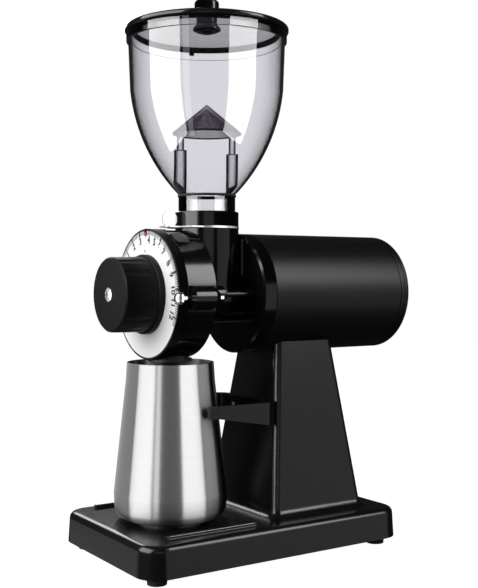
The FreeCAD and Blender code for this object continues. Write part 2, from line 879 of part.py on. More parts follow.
def grind_knob():
    flange_start = knob_rear - knob_flange_length
    face = knob_radius - knob_draft - knob_front_bevel
    dome_half = V(0.5 * face, knob_front - 0.75 * knob_dome, axis_height)
    top = V(0, knob_front - knob_dome, axis_height)
    rim = V(face, knob_front, axis_height)
    edge = V(knob_radius - knob_draft, knob_front + knob_front_bevel, axis_height)
    foot = V(knob_radius, flange_start, axis_height)
    centre = V(0, flange_start, axis_height)
    profile = [arc(top, dome_half, rim), line(rim, edge), line(edge, foot), line(foot, centre),
               line(centre, top)]
    body = Part.Face(Part.Wire(profile)).revolve(V(0, 0, axis_height), V(0, 1, 0), 360)
    cutter_circle = knob_radius - flute_depth + flute_cutter
    flute_end = flange_start - flute_stop
    flute = rod_y(flute_cutter, knob_front - 2.0 * knob_dome, flute_end, cutter_circle)
    flute = flute.fuse(Part.makeSphere(flute_cutter, V(cutter_circle, flute_end, axis_height)))
    body = body.cut(around_y(flute, flute_count, flute_turn))
    flange = rod_y(knob_flange_radius, flange_start, knob_rear)
    flange_edge = edges_near(flange, lambda b: b.YMax < flange_start + 0.01)
    flange = flange.makeFillet(knob_flange_rounding, flange_edge)
    knob = body.fuse(flange).removeSplitter()
    recess = rod_y(knob_screw_recess, knob_front - knob_dome, knob_screw_seat)
    hole = rod_y(knob_screw_radius + screw_gap, knob_screw_seat, knob_rear)
    socket = rod_y(spindle_radius + spindle_fit, knob_rear - spindle_in_knob, knob_rear)
    return knob.cut([recess, hole, socket])


def knob_screw():
    seat = knob_screw_seat
    head = rod_y(knob_screw_head, seat - knob_screw_head_height, seat)
    head_edge = edges_near(head, lambda b: b.YMax < seat - knob_screw_head_height + 0.01)
    head = head.makeFillet(knob_screw_rounding, head_edge)
    return head.fuse(rod_y(knob_screw_radius, seat, knob_rear - spindle_in_knob + knob_screw_bite))


def adjusting_spindle():
    front = knob_rear - spindle_in_knob
    spindle = rod_y(spindle_radius, front, chamber_front)
    spindle = spindle.fuse(rod_y(thread_radius, chamber_front, fixed_carrier_front + thread_length))
    return spindle.cut(rod_y(knob_screw_radius + screw_gap, front, front + knob_screw_bite + screw_end_room))


def burr_ring(y_from, y_to, toothed_y, turn):
    """A flat burr: raked grooves on one face leave the cutting teeth between them."""
    ring = tube_y(burr_radius, burr_bore, y_from, y_to)
    inward = 1.0 if toothed_y == y_from else -1.0
    outer = 1.3 * burr_radius
    corners = [
        V(0.5 * burr_bore, toothed_y - inward, axis_height + tooth_offset - 0.5 * tooth_width),
        V(0.5 * burr_bore, toothed_y - inward, axis_height + tooth_offset + 0.5 * tooth_width),
        V(0.5 * burr_bore, toothed_y + inward * tooth_depth, axis_height + tooth_offset + 0.5 * tooth_width),
    ]
    groove = prism(corners, V(outer - 0.5 * burr_bore, 0, 0))
    return ring.cut(around_y(groove, burr_teeth, turn))


def burr_screw_holes(y_from, y_to, radius):
    return around_y(rod_y(radius, y_from, y_to, burr_screw_circle), burr_screw_count, burr_screw_turn)


def rotating_burr():
    burr = burr_ring(rotating_burr_front, rotating_burr_rear, rotating_burr_front, 0.0)
    seat = rotating_burr_front + tooth_depth + burr_screw_head_height
    burr = burr.cut(burr_screw_holes(rotating_burr_front, seat, burr_screw_head + screw_gap))
    return burr.cut(burr_screw_holes(seat, rotating_burr_rear, burr_screw_radius + screw_gap))


def rotating_burr_screws():
    seat = rotating_burr_front + tooth_depth + burr_screw_head_height
    heads = burr_screw_holes(seat - burr_screw_head_height, seat, burr_screw_head)
    shanks = burr_screw_holes(seat, rotating_carrier_rear, burr_screw_radius)
    return Part.makeCompound([head.fuse(shank) for head, shank in zip(heads, shanks)])


def burr_carrier():
    disc = rod_y(burr_radius, rotating_burr_rear, rotating_carrier_rear)
    sweeper = block(burr_radius - sweeper_root, sweeper_reach, rotating_burr_rear, rotating_carrier_rear,
                    axis_height - 0.5 * sweeper_width, axis_height + 0.5 * sweeper_width)
    disc = disc.fuse(around_y(sweeper, 2)).removeSplitter()
    hub = rod_y(carrier_hub_radius, rotating_burr_front, rotating_burr_rear)
    disc = disc.fuse(hub).removeSplitter()
    windows = around_y(rod_y(feed_hole_radius, rotating_burr_rear, rotating_carrier_rear, feed_hole_circle),
                       feed_hole_count)
    disc = disc.cut(windows)
    screw_hole = burr_screw_radius + screw_gap
    disc = disc.cut(burr_screw_holes(rotating_burr_rear, rotating_carrier_rear, screw_hole))
    return disc.cut(rod_y(shaft_radius + core_fit, rotating_burr_front, rotating_carrier_rear))


def fixed_burr():
    burr = burr_ring(fixed_burr_front, fixed_burr_rear, fixed_burr_rear, fixed_burr_turn)
    seat = fixed_burr_rear - tooth_depth - burr_screw_head_height
    burr = burr.cut(burr_screw_holes(seat, fixed_burr_rear, burr_screw_head + screw_gap))
    return burr.cut(burr_screw_holes(fixed_burr_front, seat, burr_screw_radius + screw_gap))


def fixed_burr_screws():
    seat = fixed_burr_rear - tooth_depth - burr_screw_head_height
    heads = burr_screw_holes(seat, seat + burr_screw_head_height, burr_screw_head)
    shanks = burr_screw_holes(fixed_carrier_front + 0.5, seat, burr_screw_radius)
    return Part.makeCompound([head.fuse(shank) for head, shank in zip(heads, shanks)])


def fixed_carrier():
    disc = rod_y(fixed_carrier_radius, fixed_carrier_front, fixed_burr_front)
    disc = disc.fuse(rod_y(fixed_hub_radius, fixed_carrier_front, fixed_carrier_front + fixed_hub_length))
    disc = disc.removeSplitter()
    disc = disc.cut(rod_y(thread_radius + spindle_fit, fixed_carrier_front,
                          fixed_carrier_front + fixed_hub_length))
    disc = disc.cut(burr_screw_holes(fixed_carrier_front, fixed_burr_front, burr_screw_radius + screw_gap))
    dowel_holes = [rod_y(dowel_radius + spindle_fit, fixed_carrier_front, fixed_burr_front, x)
                   for x in (-dowel_circle, dowel_circle)]
    return disc.cut(dowel_holes)


def carrier_dowels():
    front = drum_front + 0.5 * drum_front_wall
    rear = fixed_burr_front - 1.0
    return Part.makeCompound([rod_y(dowel_radius, front, rear, x) for x in (-dowel_circle, dowel_circle)])


def feed_auger():
    """A worm on the shaft that carries the beans from the neck to the burrs."""
    rear = flange_front - throat_rear_wall - auger_rear_gap
    hub = rod_y(auger_hub_radius, rotating_carrier_rear, rear)
    height = auger_pitch * auger_turns
    helix = Part.makeHelix(auger_pitch, height, auger_hub_radius)
    deep = auger_hub_radius - join_depth
    half = 0.5 * auger_flight
    corners = [V(deep, 0, -half), V(auger_radius, 0, -half), V(auger_radius, 0, half), V(deep, 0, half)]
    section = Part.makePolygon(corners + corners[:1])
    flight = Part.Wire(helix.Edges).makePipeShell([section], True, True)
    flight.rotate(V(0, 0, 0), V(1, 0, 0), -90)
    middle = 0.5 * (rotating_carrier_rear + rear)
    flight.translate(V(0, middle - 0.5 * height, axis_height))
    return hub.fuse(flight).cut(rod_y(shaft_radius + core_fit, rotating_carrier_rear, rear))


def motor_shaft():
    front = rotating_burr_front - shaft_end_proud
    seat_front = front_bearing_front + front_bearing_width
    seat_rear = rear_bearing_rear - rear_bearing_width
    shaft = rod_y(shaft_radius, front, rear_bearing_rear)
    return shaft.fuse(rod_y(rotor_seat_radius, seat_front + 0.5, seat_rear - 0.5)).removeSplitter()


def bearing(radius, y_from, width):
    ring = tube_y(radius, shaft_radius + bearing_gap, y_from, y_from + width)
    middle = 0.5 * (radius + shaft_radius)
    outer = middle + 0.5 * bearing_groove_width
    inner = middle - 0.5 * bearing_groove_width
    groove = tube_y(outer, inner, y_from, y_from + bearing_groove_depth)
    return ring.cut(groove)


def shaft_seal():
    rear = flange_front - throat_rear_wall + seal_length
    return tube_y(seal_radius, shaft_radius + bearing_gap, rear - seal_length, rear)


def stator_core():
    return tube_y(stator_radius, stator_bore, stator_front, stator_rear)


def stator_windings():
    outer = stator_radius - winding_step
    inner = stator_bore + winding_step
    coils = []
    for y_from in (stator_front - winding_length, stator_rear):
        coil = tube_y(outer, inner, y_from, y_from + winding_length)
        ends = edges_near(coil, lambda b: b.YLength < 0.01 and abs(b.YMin - stator_front) > 0.01
                          and abs(b.YMin - stator_rear) > 0.01)
        coils.append(coil.makeFillet(winding_step, ends))
    return Part.makeCompound(coils)


def rotor_core():
    return tube_y(rotor_radius, rotor_seat_radius + core_fit, stator_front, stator_rear)


def cooling_fan():
    front = stator_rear + fan_behind_stator
    hub = rod_y(fan_hub_radius, front, front + fan_length)
    blade = block(fan_hub_radius - join_depth, fan_radius, front, front + fan_length,
                  axis_height - 0.5 * fan_blade, axis_height + 0.5 * fan_blade)
    fan = hub.fuse(around_y(blade, fan_blade_count)).removeSplitter()
    return fan.cut(rod_y(rotor_seat_radius + core_fit, front, front + fan_length))


def motor_shell():
    shell = tube_y(motor_radius, shell_bore, shell_front, shell_rear)
    lug_rear = shell_rear - spigot_length - seam_gap
    lug = rod_y(shell_lug_radius, lug_rear - shell_lug_length, lug_rear, cap_screw_circle)
    room = rod_y(motor_radius - 0.5 * shell_wall, shell_front, shell_rear)
    lugs = [piece.common(room) for piece in around_y(lug, cap_screw_count, cap_screw_turn)]
    shell = shell.fuse(lugs).removeSplitter()
    hole = rod_y(cap_screw_radius + screw_gap, lug_rear - shell_lug_length, lug_rear, cap_screw_circle)
    shell = shell.cut(around_y(hole, cap_screw_count, cap_screw_turn))
    underside = axis_height - motor_radius
    radius = motor_bolt_radius + screw_gap
    return shell.cut([rod_z(radius, underside, axis_height, 0.0, y) for y in motor_bolt_places()])


def motor_bolts():
    seat = axis_height - motor_radius - column_cap
    tip = axis_height - shell_bore
    bolts = []
    for y in motor_bolt_places():
        head = rod_z(motor_bolt_head, seat - motor_bolt_head_height, seat, 0.0, y)
        bolts.append(head.fuse(rod_z(motor_bolt_radius, seat, tip, 0.0, y)))
    return Part.makeCompound(bolts)


def rear_cap():
    cap = rod_y(motor_radius, cap_front, cap_rear)
    cap = cap.makeFillet(cap_rounding, edges_near(cap, lambda b: b.YMin > cap_rear - 0.01))
    cap = cap.fuse(rod_y(shell_bore - spigot_gap, cap_front - spigot_length, cap_front)).removeSplitter()
    boss = rod_y(rear_bearing_radius + cap_wall, rear_bearing_rear - rear_bearing_width, cap_rear)
    inside = rod_y(shell_bore - spigot_gap - cap_wall, cap_front - spigot_length, cap_rear - cap_end_wall)
    cap = cap.cut(inside.cut(boss)).fuse(boss.common(inside)).removeSplitter()
    boss_front = rear_bearing_rear - rear_bearing_width
    groove_y = cap_front + cap_groove_from_seam
    cuts = [
        rod_y(rear_bearing_radius + bearing_seat_gap, boss_front, rear_bearing_rear + bearing_seat_gap),
        tube_y(motor_radius + 1.0, motor_radius - cap_groove, groove_y, groove_y + cap_groove),
    ]
    slot = block(vent_inner, vent_outer, cap_rear - cap_end_wall, cap_rear,
                 axis_height - 0.5 * vent_width, axis_height + 0.5 * vent_width)
    cuts += around_y(slot, vent_count, vent_turn)
    hole = rod_y(cap_screw_radius + screw_gap, cap_front - spigot_length, cap_rear, cap_screw_circle)
    cuts += around_y(hole, cap_screw_count, cap_screw_turn)
    sink = rod_y(cap_screw_head + screw_gap, cap_rear - cap_screw_sink, cap_rear, cap_screw_circle)
    cuts += around_y(sink, cap_screw_count, cap_screw_turn)
    return cap.cut(cuts)


def rear_cap_screws():
    tip = shell_rear - spigot_length - seam_gap - shell_lug_length + 1.0
    seat = cap_rear - cap_screw_sink
    head = rod_y(cap_screw_head, seat, seat + cap_screw_head_height, cap_screw_circle)
    screw = head.fuse(rod_y(cap_screw_radius, tip, seat, cap_screw_circle))
    return Part.makeCompound(around_y(screw, cap_screw_count, cap_screw_turn))


def spout():
    top = axis_height - drum_radius + spout_rise
    tube = rod_z(spout_radius, spout_bottom, top, 0.0, drum_middle)
    flange = rod_z(spout_flange_radius, spout_bottom, spout_bottom + spout_flange_height, 0.0, drum_middle)
    tube = tube.fuse(flange).cut(rod_z(spout_bore, spout_bottom, top, 0.0, drum_middle))
    tube = tube.cut(rod_y(drum_radius + spout_gap, drum_front, drum_rear + dial_depth))
    return tube.cut(rod_y(dial_radius + dial_run_gap, dial_front - dial_depth, drum_front))


def cup_outline(shrink, rim):
    """Edges of the cup's turned profile, drawn in from the outside by the wall."""
    z_rim = cup_top
    foot = V(cup_foot_radius - shrink, cup_y, cup_bottom + shrink)
    belly = V(cup_belly_radius - shrink, cup_y, cup_bottom + cup_belly_height)
    shoulder = V(cup_shoulder_radius - shrink, cup_y, cup_bottom + cup_shoulder_height)
    neck = V(cup_neck_radius - shrink, cup_y, z_rim - cup_neck_drop)
    edge = V(rim - shrink, cup_y, z_rim)
    axis_low = V(0, cup_y, foot.z)
    axis_high = V(0, cup_y, z_rim)
    return [line(axis_low, foot), arc(foot, belly, shoulder), line(shoulder, neck), line(neck, edge),
            line(edge, axis_high), line(axis_high, axis_low)]


def cup():
    outside = turned_z(cup_outline(0.0, cup_rim_radius), cup_y)
    outside = outside.makeFillet(cup_foot_rounding, edges_near(outside, lambda b: b.ZMax < cup_bottom + 0.01))
    inside = turned_z(cup_outline(cup_wall, cup_rim_radius), cup_y)
    return outside.cut(inside)


def bean_gate():
    shoulder = neck_y - neck_radius
    plate = rod_z(gate_half_width, gate_bottom, gate_bottom + gate_thickness, 0.0, neck_y)
    plate = plate.fuse(block(-gate_half_width, gate_half_width, shoulder, neck_y,
                             gate_bottom, gate_bottom + gate_thickness))
    taper = [
        V(-gate_half_width, shoulder, gate_bottom),
        V(-tongue_half_width, shoulder - 0.5 * tongue_half_width, gate_bottom),
        V(-tongue_half_width, tongue_front, gate_bottom),
        V(tongue_half_width, tongue_front, gate_bottom),
        V(tongue_half_width, shoulder - 0.5 * tongue_half_width, gate_bottom),
        V(gate_half_width, shoulder, gate_bottom),
    ]
    tongue = prism(taper, V(0, 0, gate_thickness))
    front_corners = edges_near(tongue, lambda b: b.ZLength > 0.5 and b.YMax < tongue_front + 0.01)
    tongue = tongue.makeFillet(tongue_rounding, front_corners)
    tab = rod_x(tab_radius, -0.5 * tab_thickness, 0.5 * tab_thickness, tab_y, gate_bottom + tab_radius)
    return plate.fuse([tongue, tab]).removeSplitter()


def gate_spacer():
    """A steel shim, as thick as the gate's slot, that leaves the gate a way in from the front."""
    ring = rod_z(neck_radius + 0.3, neck_top, collar_bottom, 0.0, neck_y)
    half = gate_half_width + gate_side_gap
    slot = rod_z(half, neck_top, collar_bottom, 0.0, neck_y)
    mouth = block(-half, half, neck_y - 2.0 * neck_radius, neck_y, neck_top, collar_bottom)
    return ring.cut([slot, mouth])


def hopper_collar():
    collar = rod_z(neck_radius, collar_bottom, collar_top, 0.0, neck_y)
    collar = collar.makeFillet(collar_edge, edges_near(collar, lambda b: b.ZMin > collar_top - 0.01))
    ledge_top = collar_bottom + collar_ledge
    collar = collar.cut(rod_z(neck_bore, collar_bottom, ledge_top, 0.0, neck_y))
    return collar.cut(rod_z(collar_bore, ledge_top, collar_top, 0.0, neck_y))


def hopper_outline(shrink, z_low):
    neck_end = hopper_bottom + hopper_neck_length
    low = V(spigot_radius - shrink, neck_y, z_low)
    flare = V(spigot_radius - shrink, neck_y, neck_end)
    middle = V(bell_mid_radius - shrink, neck_y, neck_end + bell_mid_rise)
    shoulder = V(bell_top_radius - shrink, neck_y, neck_end + bell_top_rise)
    rim = V(hopper_rim_radius - shrink, neck_y, hopper_top)
    axis_low = V(0, neck_y, z_low)
    axis_high = V(0, neck_y, hopper_top)
    return [line(axis_low, low), line(low, flare), arc(flare, middle, shoulder), line(shoulder, rim),
            line(rim, axis_high), line(axis_high, axis_low)]


def socket_places():
    return [neck_y - socket_circle, neck_y + socket_circle]


def hopper():
    outside = turned_z(hopper_outline(0.0, hopper_bottom), neck_y)
    inside = turned_z(hopper_outline(hopper_wall, hopper_bottom), neck_y)
    band = rod_z(hopper_band_radius, hopper_top - hopper_band_height, hopper_top, 0.0, neck_y)
    bowl = outside.fuse(band).cut(inside)
    top = hopper_bottom + socket_top
    sockets = [rod_z(socket_radius, hopper_bottom + hopper_neck_length, top, 0.0, y).common(outside)
               for y in socket_places()]
    bowl = bowl.fuse(sockets).removeSplitter()
    holes = [rod_z(post_radius + post_gap, top - socket_depth, top, 0.0, y) for y in socket_places()]
    return bowl.cut(holes)


def bean_cone():
    low = hopper_bottom + cone_rise
    slope = cone_radius / cone_height
    rim_top = low + cone_rim
    outer = [(0.0, low), (cone_radius, low), (cone_radius, rim_top), (0.0, rim_top + cone_height)]
    cone = turned_z(outline_z(outer, neck_y), neck_y)
    inner_height = cone_height - cone_wall * math.sqrt(1.0 + 1.0 / slope ** 2)
    inner = [(0.0, low), (slope * inner_height, low), (0.0, low + inner_height)]
    cone = cone.cut(turned_z(outline_z(inner, neck_y), neck_y))
    bottom = hopper_bottom + socket_top - socket_depth + 0.5
    posts = []
    for y in socket_places():
        post = rod_z(post_radius, bottom, low + cone_height, 0.0, y)
        room = turned_z(outline_z([(0.0, bottom), (cone_radius, bottom)] + outer[1:], neck_y), neck_y)
        posts.append(post.common(room))
    return cone.fuse(posts).removeSplitter()


def lid_ring():
    plug_outer = hopper_rim_radius - hopper_wall - lid_gap
    plug_inner = plug_outer - lid_plug_wall
    top = lid_bottom + lid_bead_height
    points = [
        (plug_inner, top - lid_disc_thickness),
        (plug_inner, lid_bottom - lid_plug_depth),
        (plug_outer, lid_bottom - lid_plug_depth),
        (plug_outer, lid_bottom),
        (lid_radius, lid_bottom),
        (lid_radius, top),
        (plug_outer, top),
        (plug_outer, top - lid_disc_thickness),
    ]
    ring = turned_z(outline_z(points, neck_y), neck_y)
    rim = edges_near(ring, lambda b: b.XLength > 2.0 * lid_radius - 0.01)
    return ring.makeFillet(lid_rim_rounding, rim)


def lid_disc():
    radius = hopper_rim_radius - hopper_wall - lid_gap - lid_disc_gap
    top = lid_bottom + lid_bead_height
    disc = rod_z(radius, top - lid_disc_thickness, top, 0.0, neck_y)
    return disc.cut(rod_z(lid_screw_radius + screw_gap, top - lid_disc_thickness, top, 0.0, neck_y))


def lid_knob():
    low = lid_bottom + lid_bead_height
    high = low + lid_knob_height
    cap_low = high - lid_knob_cap
    points = [
        (0.0, low),
        (lid_knob_foot, low),
        (lid_knob_foot, low + lid_knob_foot_height),
        (lid_knob_neck, low + lid_knob_foot_height + lid_knob_foot - lid_knob_neck),
        (lid_knob_neck, cap_low),
        (lid_knob_radius, cap_low),
        (lid_knob_radius, high),
        (0.0, high),
    ]
    knob = turned_z(outline_z(points, neck_y), neck_y)
    knob = knob.makeFillet(lid_knob_rounding, edges_near(knob, lambda b: b.ZMin > high - 0.01
                                                         and b.XLength > lid_knob_radius))
    return knob.cut(rod_z(lid_screw_radius + screw_gap, low, low + lid_screw_bite + 1.0, 0.0, neck_y))


def lid_screw():
    seat = lid_bottom + lid_bead_height - lid_disc_thickness
    washer = rod_z(lid_washer_radius, seat - lid_washer_thickness, seat, 0.0, neck_y)
    head = rod_z(lid_screw_head, seat - lid_screw_head_height, seat, 0.0, neck_y)
    shank = rod_z(lid_screw_radius, seat, seat + lid_disc_thickness + lid_screw_bite, 0.0, neck_y)
    return washer.fuse([head, shank]).removeSplitter()


def switch_housing():
    outer = switch_box(0.0, -switch_bezel_proud, switch_depth)
    frame = switch_box(switch_bezel, -switch_bezel_proud, 0.0)
    window = switch_box(-switch_wall, -switch_bezel_proud, 0.5 * switch_depth)
    return switch_place(frame.fuse(outer).removeSplitter().cut(window))


def switch_rocker():
    """A dished key, drawn tipped to its off side about its pivot."""
    half_height = 0.5 * switch_height - switch_wall - rocker_gap
    half_width = 0.5 * switch_width - switch_wall - rocker_side_gap
    face = -switch_bezel_proud - rocker_proud
    pivot = rocker_pivot_depth - rocker_pivot_radius
    corners = [
        V(face, -half_width, half_height),
        V(face + rocker_dish, -half_width, 0.0),
        V(face, -half_width, -half_height),
        V(rocker_pivot_depth, -half_width, -half_height + rocker_body),
        V(rocker_pivot_depth, -half_width, half_height - rocker_body),
    ]
    key = prism(corners, V(0, 2.0 * half_width, 0))
    key = key.fuse(rod_y(rocker_pivot_radius, -half_width, half_width, pivot, 0.0))
    key.rotate(V(pivot, 0, 0), V(0, 1, 0), rocker_tilt)
    return switch_place(key.removeSplitter())


def run_capacitor():
    can = rod_z(capacitor_radius, cover_top, cover_top + capacitor_length, 0.0, capacitor_y)
    top_edge = edges_near(can, lambda b: b.ZLength < 0.01 and b.ZMin > cover_top + 1.0)
    return can.makeFillet(capacitor_rounding, top_edge)


def terminal_block():
    y = terminal_y
    body = block(-0.5 * terminal_length, 0.5 * terminal_length, y - 0.5 * terminal_width,
                 y + 0.5 * terminal_width, cover_top, cover_top + terminal_height)
    top = cover_top + terminal_height
    pitch = terminal_length / terminal_count
    first = 0.5 * (pitch - terminal_length)
    wells = [rod_z(terminal_well_radius, top - terminal_well_depth, top, first + i * pitch, y)
             for i in range(terminal_count)]
    return body.cut(wells)


def cord_gland():
    z = base_bottom + gland_rise
    wall = 0.5 * base_length
    body = rod_y(gland_radius, wall, wall + gland_proud, 0.0, z)
    body = body.makeFillet(gland_rounding, edges_near(body, lambda b: b.YMin > wall + gland_proud - 0.01))
    stem = rod_y(gland_thread_radius, wall - base_wall - gland_nut, wall, 0.0, z)
    nut = rod_y(gland_nut_radius, wall - base_wall - gland_nut, wall - base_wall, 0.0, z)
    bore = rod_y(gland_bore, wall - base_wall - gland_nut, wall + gland_proud, 0.0, z)
    return body.fuse([stem, nut]).removeSplitter().cut(bore)


pieces = {
    "base_casting": base_casting(),
    "bottom_cover": bottom_cover(),
    "rubber_feet": rubber_feet(),
    "foot_screws": foot_screws(),
    "left_rail": guide_rail(-1),
    "right_rail": guide_rail(1),
    "cup_fork": cup_fork(),
    "fork_tips": fork_tips(),
    "fork_screws": fork_screws(),
    "grinder_body": grinder_body(),
    "burr_housing": burr_housing(),
    "tie_bolts": tie_bolts(),
    "tie_nuts": tie_nuts(),
    "lock_pin": lock_pin(),
    "lock_spring": lock_spring(),
    "dial_ring": dial_ring(),
    "dial_plate": dial_plate(),
    "dial_pointer": dial_pointer(),
    "grind_knob": grind_knob(),
    "knob_screw": knob_screw(),
    "adjusting_spindle": adjusting_spindle(),
    "fixed_carrier": fixed_carrier(),
    "fixed_burr": fixed_burr(),
    "fixed_burr_screws": fixed_burr_screws(),
    "carrier_dowels": carrier_dowels(),
    "rotating_burr": rotating_burr(),
    "rotating_burr_screws": rotating_burr_screws(),
    "burr_carrier": burr_carrier(),
    "feed_auger": feed_auger(),
    "shaft_seal": shaft_seal(),
    "motor_shaft": motor_shaft(),
    "front_bearing": bearing(front_bearing_radius, front_bearing_front, front_bearing_width),
    "rear_bearing": bearing(rear_bearing_radius, rear_bearing_rear - rear_bearing_width, rear_bearing_width),
    "stator_core": stator_core(),
    "stator_windings": stator_windings(),
    "rotor_core": rotor_core(),
    "cooling_fan": cooling_fan(),
    "motor_shell": motor_shell(),
    "motor_bolts": motor_bolts(),
    "rear_cap": rear_cap(),
    "rear_cap_screws": rear_cap_screws(),
    "spout": spout(),
    "cup": cup(),
    "bean_gate": bean_gate(),
    "gate_spacer": gate_spacer(),
    "hopper_collar": hopper_collar(),
    "hopper": hopper(),
    "bean_cone": bean_cone(),
    "lid_ring": lid_ring(),
    "lid_disc": lid_disc(),
    "lid_knob": lid_knob(),
    "lid_screw": lid_screw(),
    "switch_housing": switch_housing(),
    "switch_rocker": switch_rocker(),
    "run_capacitor": run_capacitor(),
    "terminal_block": terminal_block(),
    "cord_gland": cord_gland(),
}

box_middle = 0.5 * (cap_rear - 0.5 * base_length)
os.makedirs("parts", exist_ok=True)
for name, shape in pieces.items():
    shape.translate(V(0, -box_middle, 0))
    shape.exportStep("parts/" + name + ".step")
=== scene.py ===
import math

import bpy
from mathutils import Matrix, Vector


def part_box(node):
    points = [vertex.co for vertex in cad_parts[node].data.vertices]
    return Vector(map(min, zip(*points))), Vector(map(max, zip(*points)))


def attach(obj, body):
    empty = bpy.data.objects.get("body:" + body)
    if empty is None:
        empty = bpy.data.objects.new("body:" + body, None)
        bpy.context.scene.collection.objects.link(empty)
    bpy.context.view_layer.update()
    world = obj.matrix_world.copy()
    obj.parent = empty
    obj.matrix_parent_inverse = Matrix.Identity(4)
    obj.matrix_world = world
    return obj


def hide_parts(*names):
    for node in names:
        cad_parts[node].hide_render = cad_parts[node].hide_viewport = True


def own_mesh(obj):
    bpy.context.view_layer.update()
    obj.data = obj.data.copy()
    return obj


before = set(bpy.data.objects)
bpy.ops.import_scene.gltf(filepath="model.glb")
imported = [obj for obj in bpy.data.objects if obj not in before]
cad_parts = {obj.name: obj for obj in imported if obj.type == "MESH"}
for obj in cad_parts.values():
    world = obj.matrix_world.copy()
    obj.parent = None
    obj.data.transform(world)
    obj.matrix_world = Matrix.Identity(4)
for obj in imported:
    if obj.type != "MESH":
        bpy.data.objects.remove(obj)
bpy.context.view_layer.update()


# The studio: a white room and floor. Six soft boxes light the painted pieces, with a few pieces shaded from
# those on the right. Tall strip lights at fixed bearings draw the upright white bands, one set on the clear
# hopper and one on the steel cup.
def only_seen_white(tree, dim):
    """White where the camera looks, also straight through the clear hopper, and dim for every other ray."""
    less_than_one_bounce = 0.5
    path = tree.nodes.new("ShaderNodeLightPath")
    straight = tree.nodes.new("ShaderNodeMath")
    straight.operation = "LESS_THAN"
    straight.inputs[1].default_value = less_than_one_bounce
    tree.links.new(path.outputs["Glossy Depth"], straight.inputs[0])
    seen = tree.nodes.new("ShaderNodeMath")
    seen.operation = "MULTIPLY_ADD"
    tree.links.new(path.outputs["Is Transmission Ray"], seen.inputs[0])
    tree.links.new(straight.outputs[0], seen.inputs[1])
    tree.links.new(path.outputs["Is Camera Ray"], seen.inputs[2])
    mix = tree.nodes.new("ShaderNodeMix")
    mix.data_type = "RGBA"
    mix.inputs["A"].default_value = dim
    mix.inputs["B"].default_value = (1.0, 1.0, 1.0, 1.0)
    tree.links.new(seen.outputs[0], mix.inputs["Factor"])
    return mix.outputs["Result"]


clear_pieces = bpy.data.collections.new("clear_pieces")
steel_pieces = bpy.data.collections.new("steel_pieces")
painted_pieces = bpy.data.collections.new("all_but_clear_and_steel")
high_right_pieces = bpy.data.collections.new("all_lit_from_high_right")
low_right_pieces = bpy.data.collections.new("all_lit_from_low_right")


def keep_off(piece, *sets):
    """Shade this piece from the soft boxes that light all but a few pieces."""
    for lit_pieces in sets:
        lit_pieces.objects.link(piece)
        lit_pieces.collection_objects[-1].light_linking.link_state = "EXCLUDE"


def under_strip_lights(piece, pieces):
    """Light this piece by its own set of tall strips and keep the soft boxes off it."""
    pieces.objects.link(piece)
    keep_off(piece, painted_pieces, high_right_pieces, low_right_pieces)


def soft_box(name, pieces, bearing, height, width, tall, glow, aim_height=0.22, distance=1.35):
    """An area light, at a compass bearing round the object, that faces the object's axis at a height."""
    turn = math.radians(bearing)
    place = Vector((distance * math.cos(turn), distance * math.sin(turn), height))
    aim = (Vector((0.0, 0.0, aim_height)) - place).to_track_quat("-Z", "Y").to_euler()
    bpy.ops.object.light_add(type="AREA", location=place, rotation=aim)
    lamp = bpy.context.object
    lamp.name = name
    lamp.data.shape = "RECTANGLE"
    lamp.data.size = width
    lamp.data.size_y = tall
    lamp.data.energy = glow * math.pi * width * tall
    lamp.visible_transmission = False
    lamp.light_linking.receiver_collection = pieces


def strip_light(name, pieces, first, last, glow, foot=-2.3):
    """A tall upright strip between two bearings, from its foot to far above the object."""
    distance = 1.35
    top = 2.7
    middle = (foot + top) / 2
    wide = 2 * distance * math.tan(math.radians(last - first) / 2)
    soft_box(name, pieces, bearing=(first + last) / 2, height=middle, width=wide, tall=top - foot, glow=glow,
             aim_height=middle, distance=distance)


bpy.context.scene.view_settings.view_transform = "Standard"
bpy.ops.object.select_all(action="DESELECT")
room = bpy.data.worlds.new("white_room")
bpy.context.scene.world = room
room.use_nodes = True
backdrop = room.node_tree.nodes["Background"]
room.node_tree.links.new(only_seen_white(room.node_tree, dim=(0.02, 0.02, 0.02, 1.0)),
                         backdrop.inputs["Color"])

bpy.ops.mesh.primitive_plane_add(size=40.0, location=(0.0, 0.0, -0.0002))
floor = bpy.context.object
floor.name = "floor"
floor.visible_glossy = False
floor.visible_shadow = False
pale = bpy.data.materials.new("pale_floor")
pale.use_nodes = True
pale_shader = pale.node_tree.nodes["Principled BSDF"]
pale_shader.inputs["Base Color"].default_value = (0.10, 0.10, 0.10, 1.0)
pale_shader.inputs["Roughness"].default_value = 0.9
pale_shader.inputs["Specular IOR Level"].default_value = 0.0
pale_shader.inputs["Emission Strength"].default_value = 1.0
pale.node_tree.links.new(only_seen_white(pale.node_tree, dim=(0.0, 0.0, 0.0, 1.0)),
                         pale_shader.inputs["Emission Color"])
floor.data.materials.append(pale)

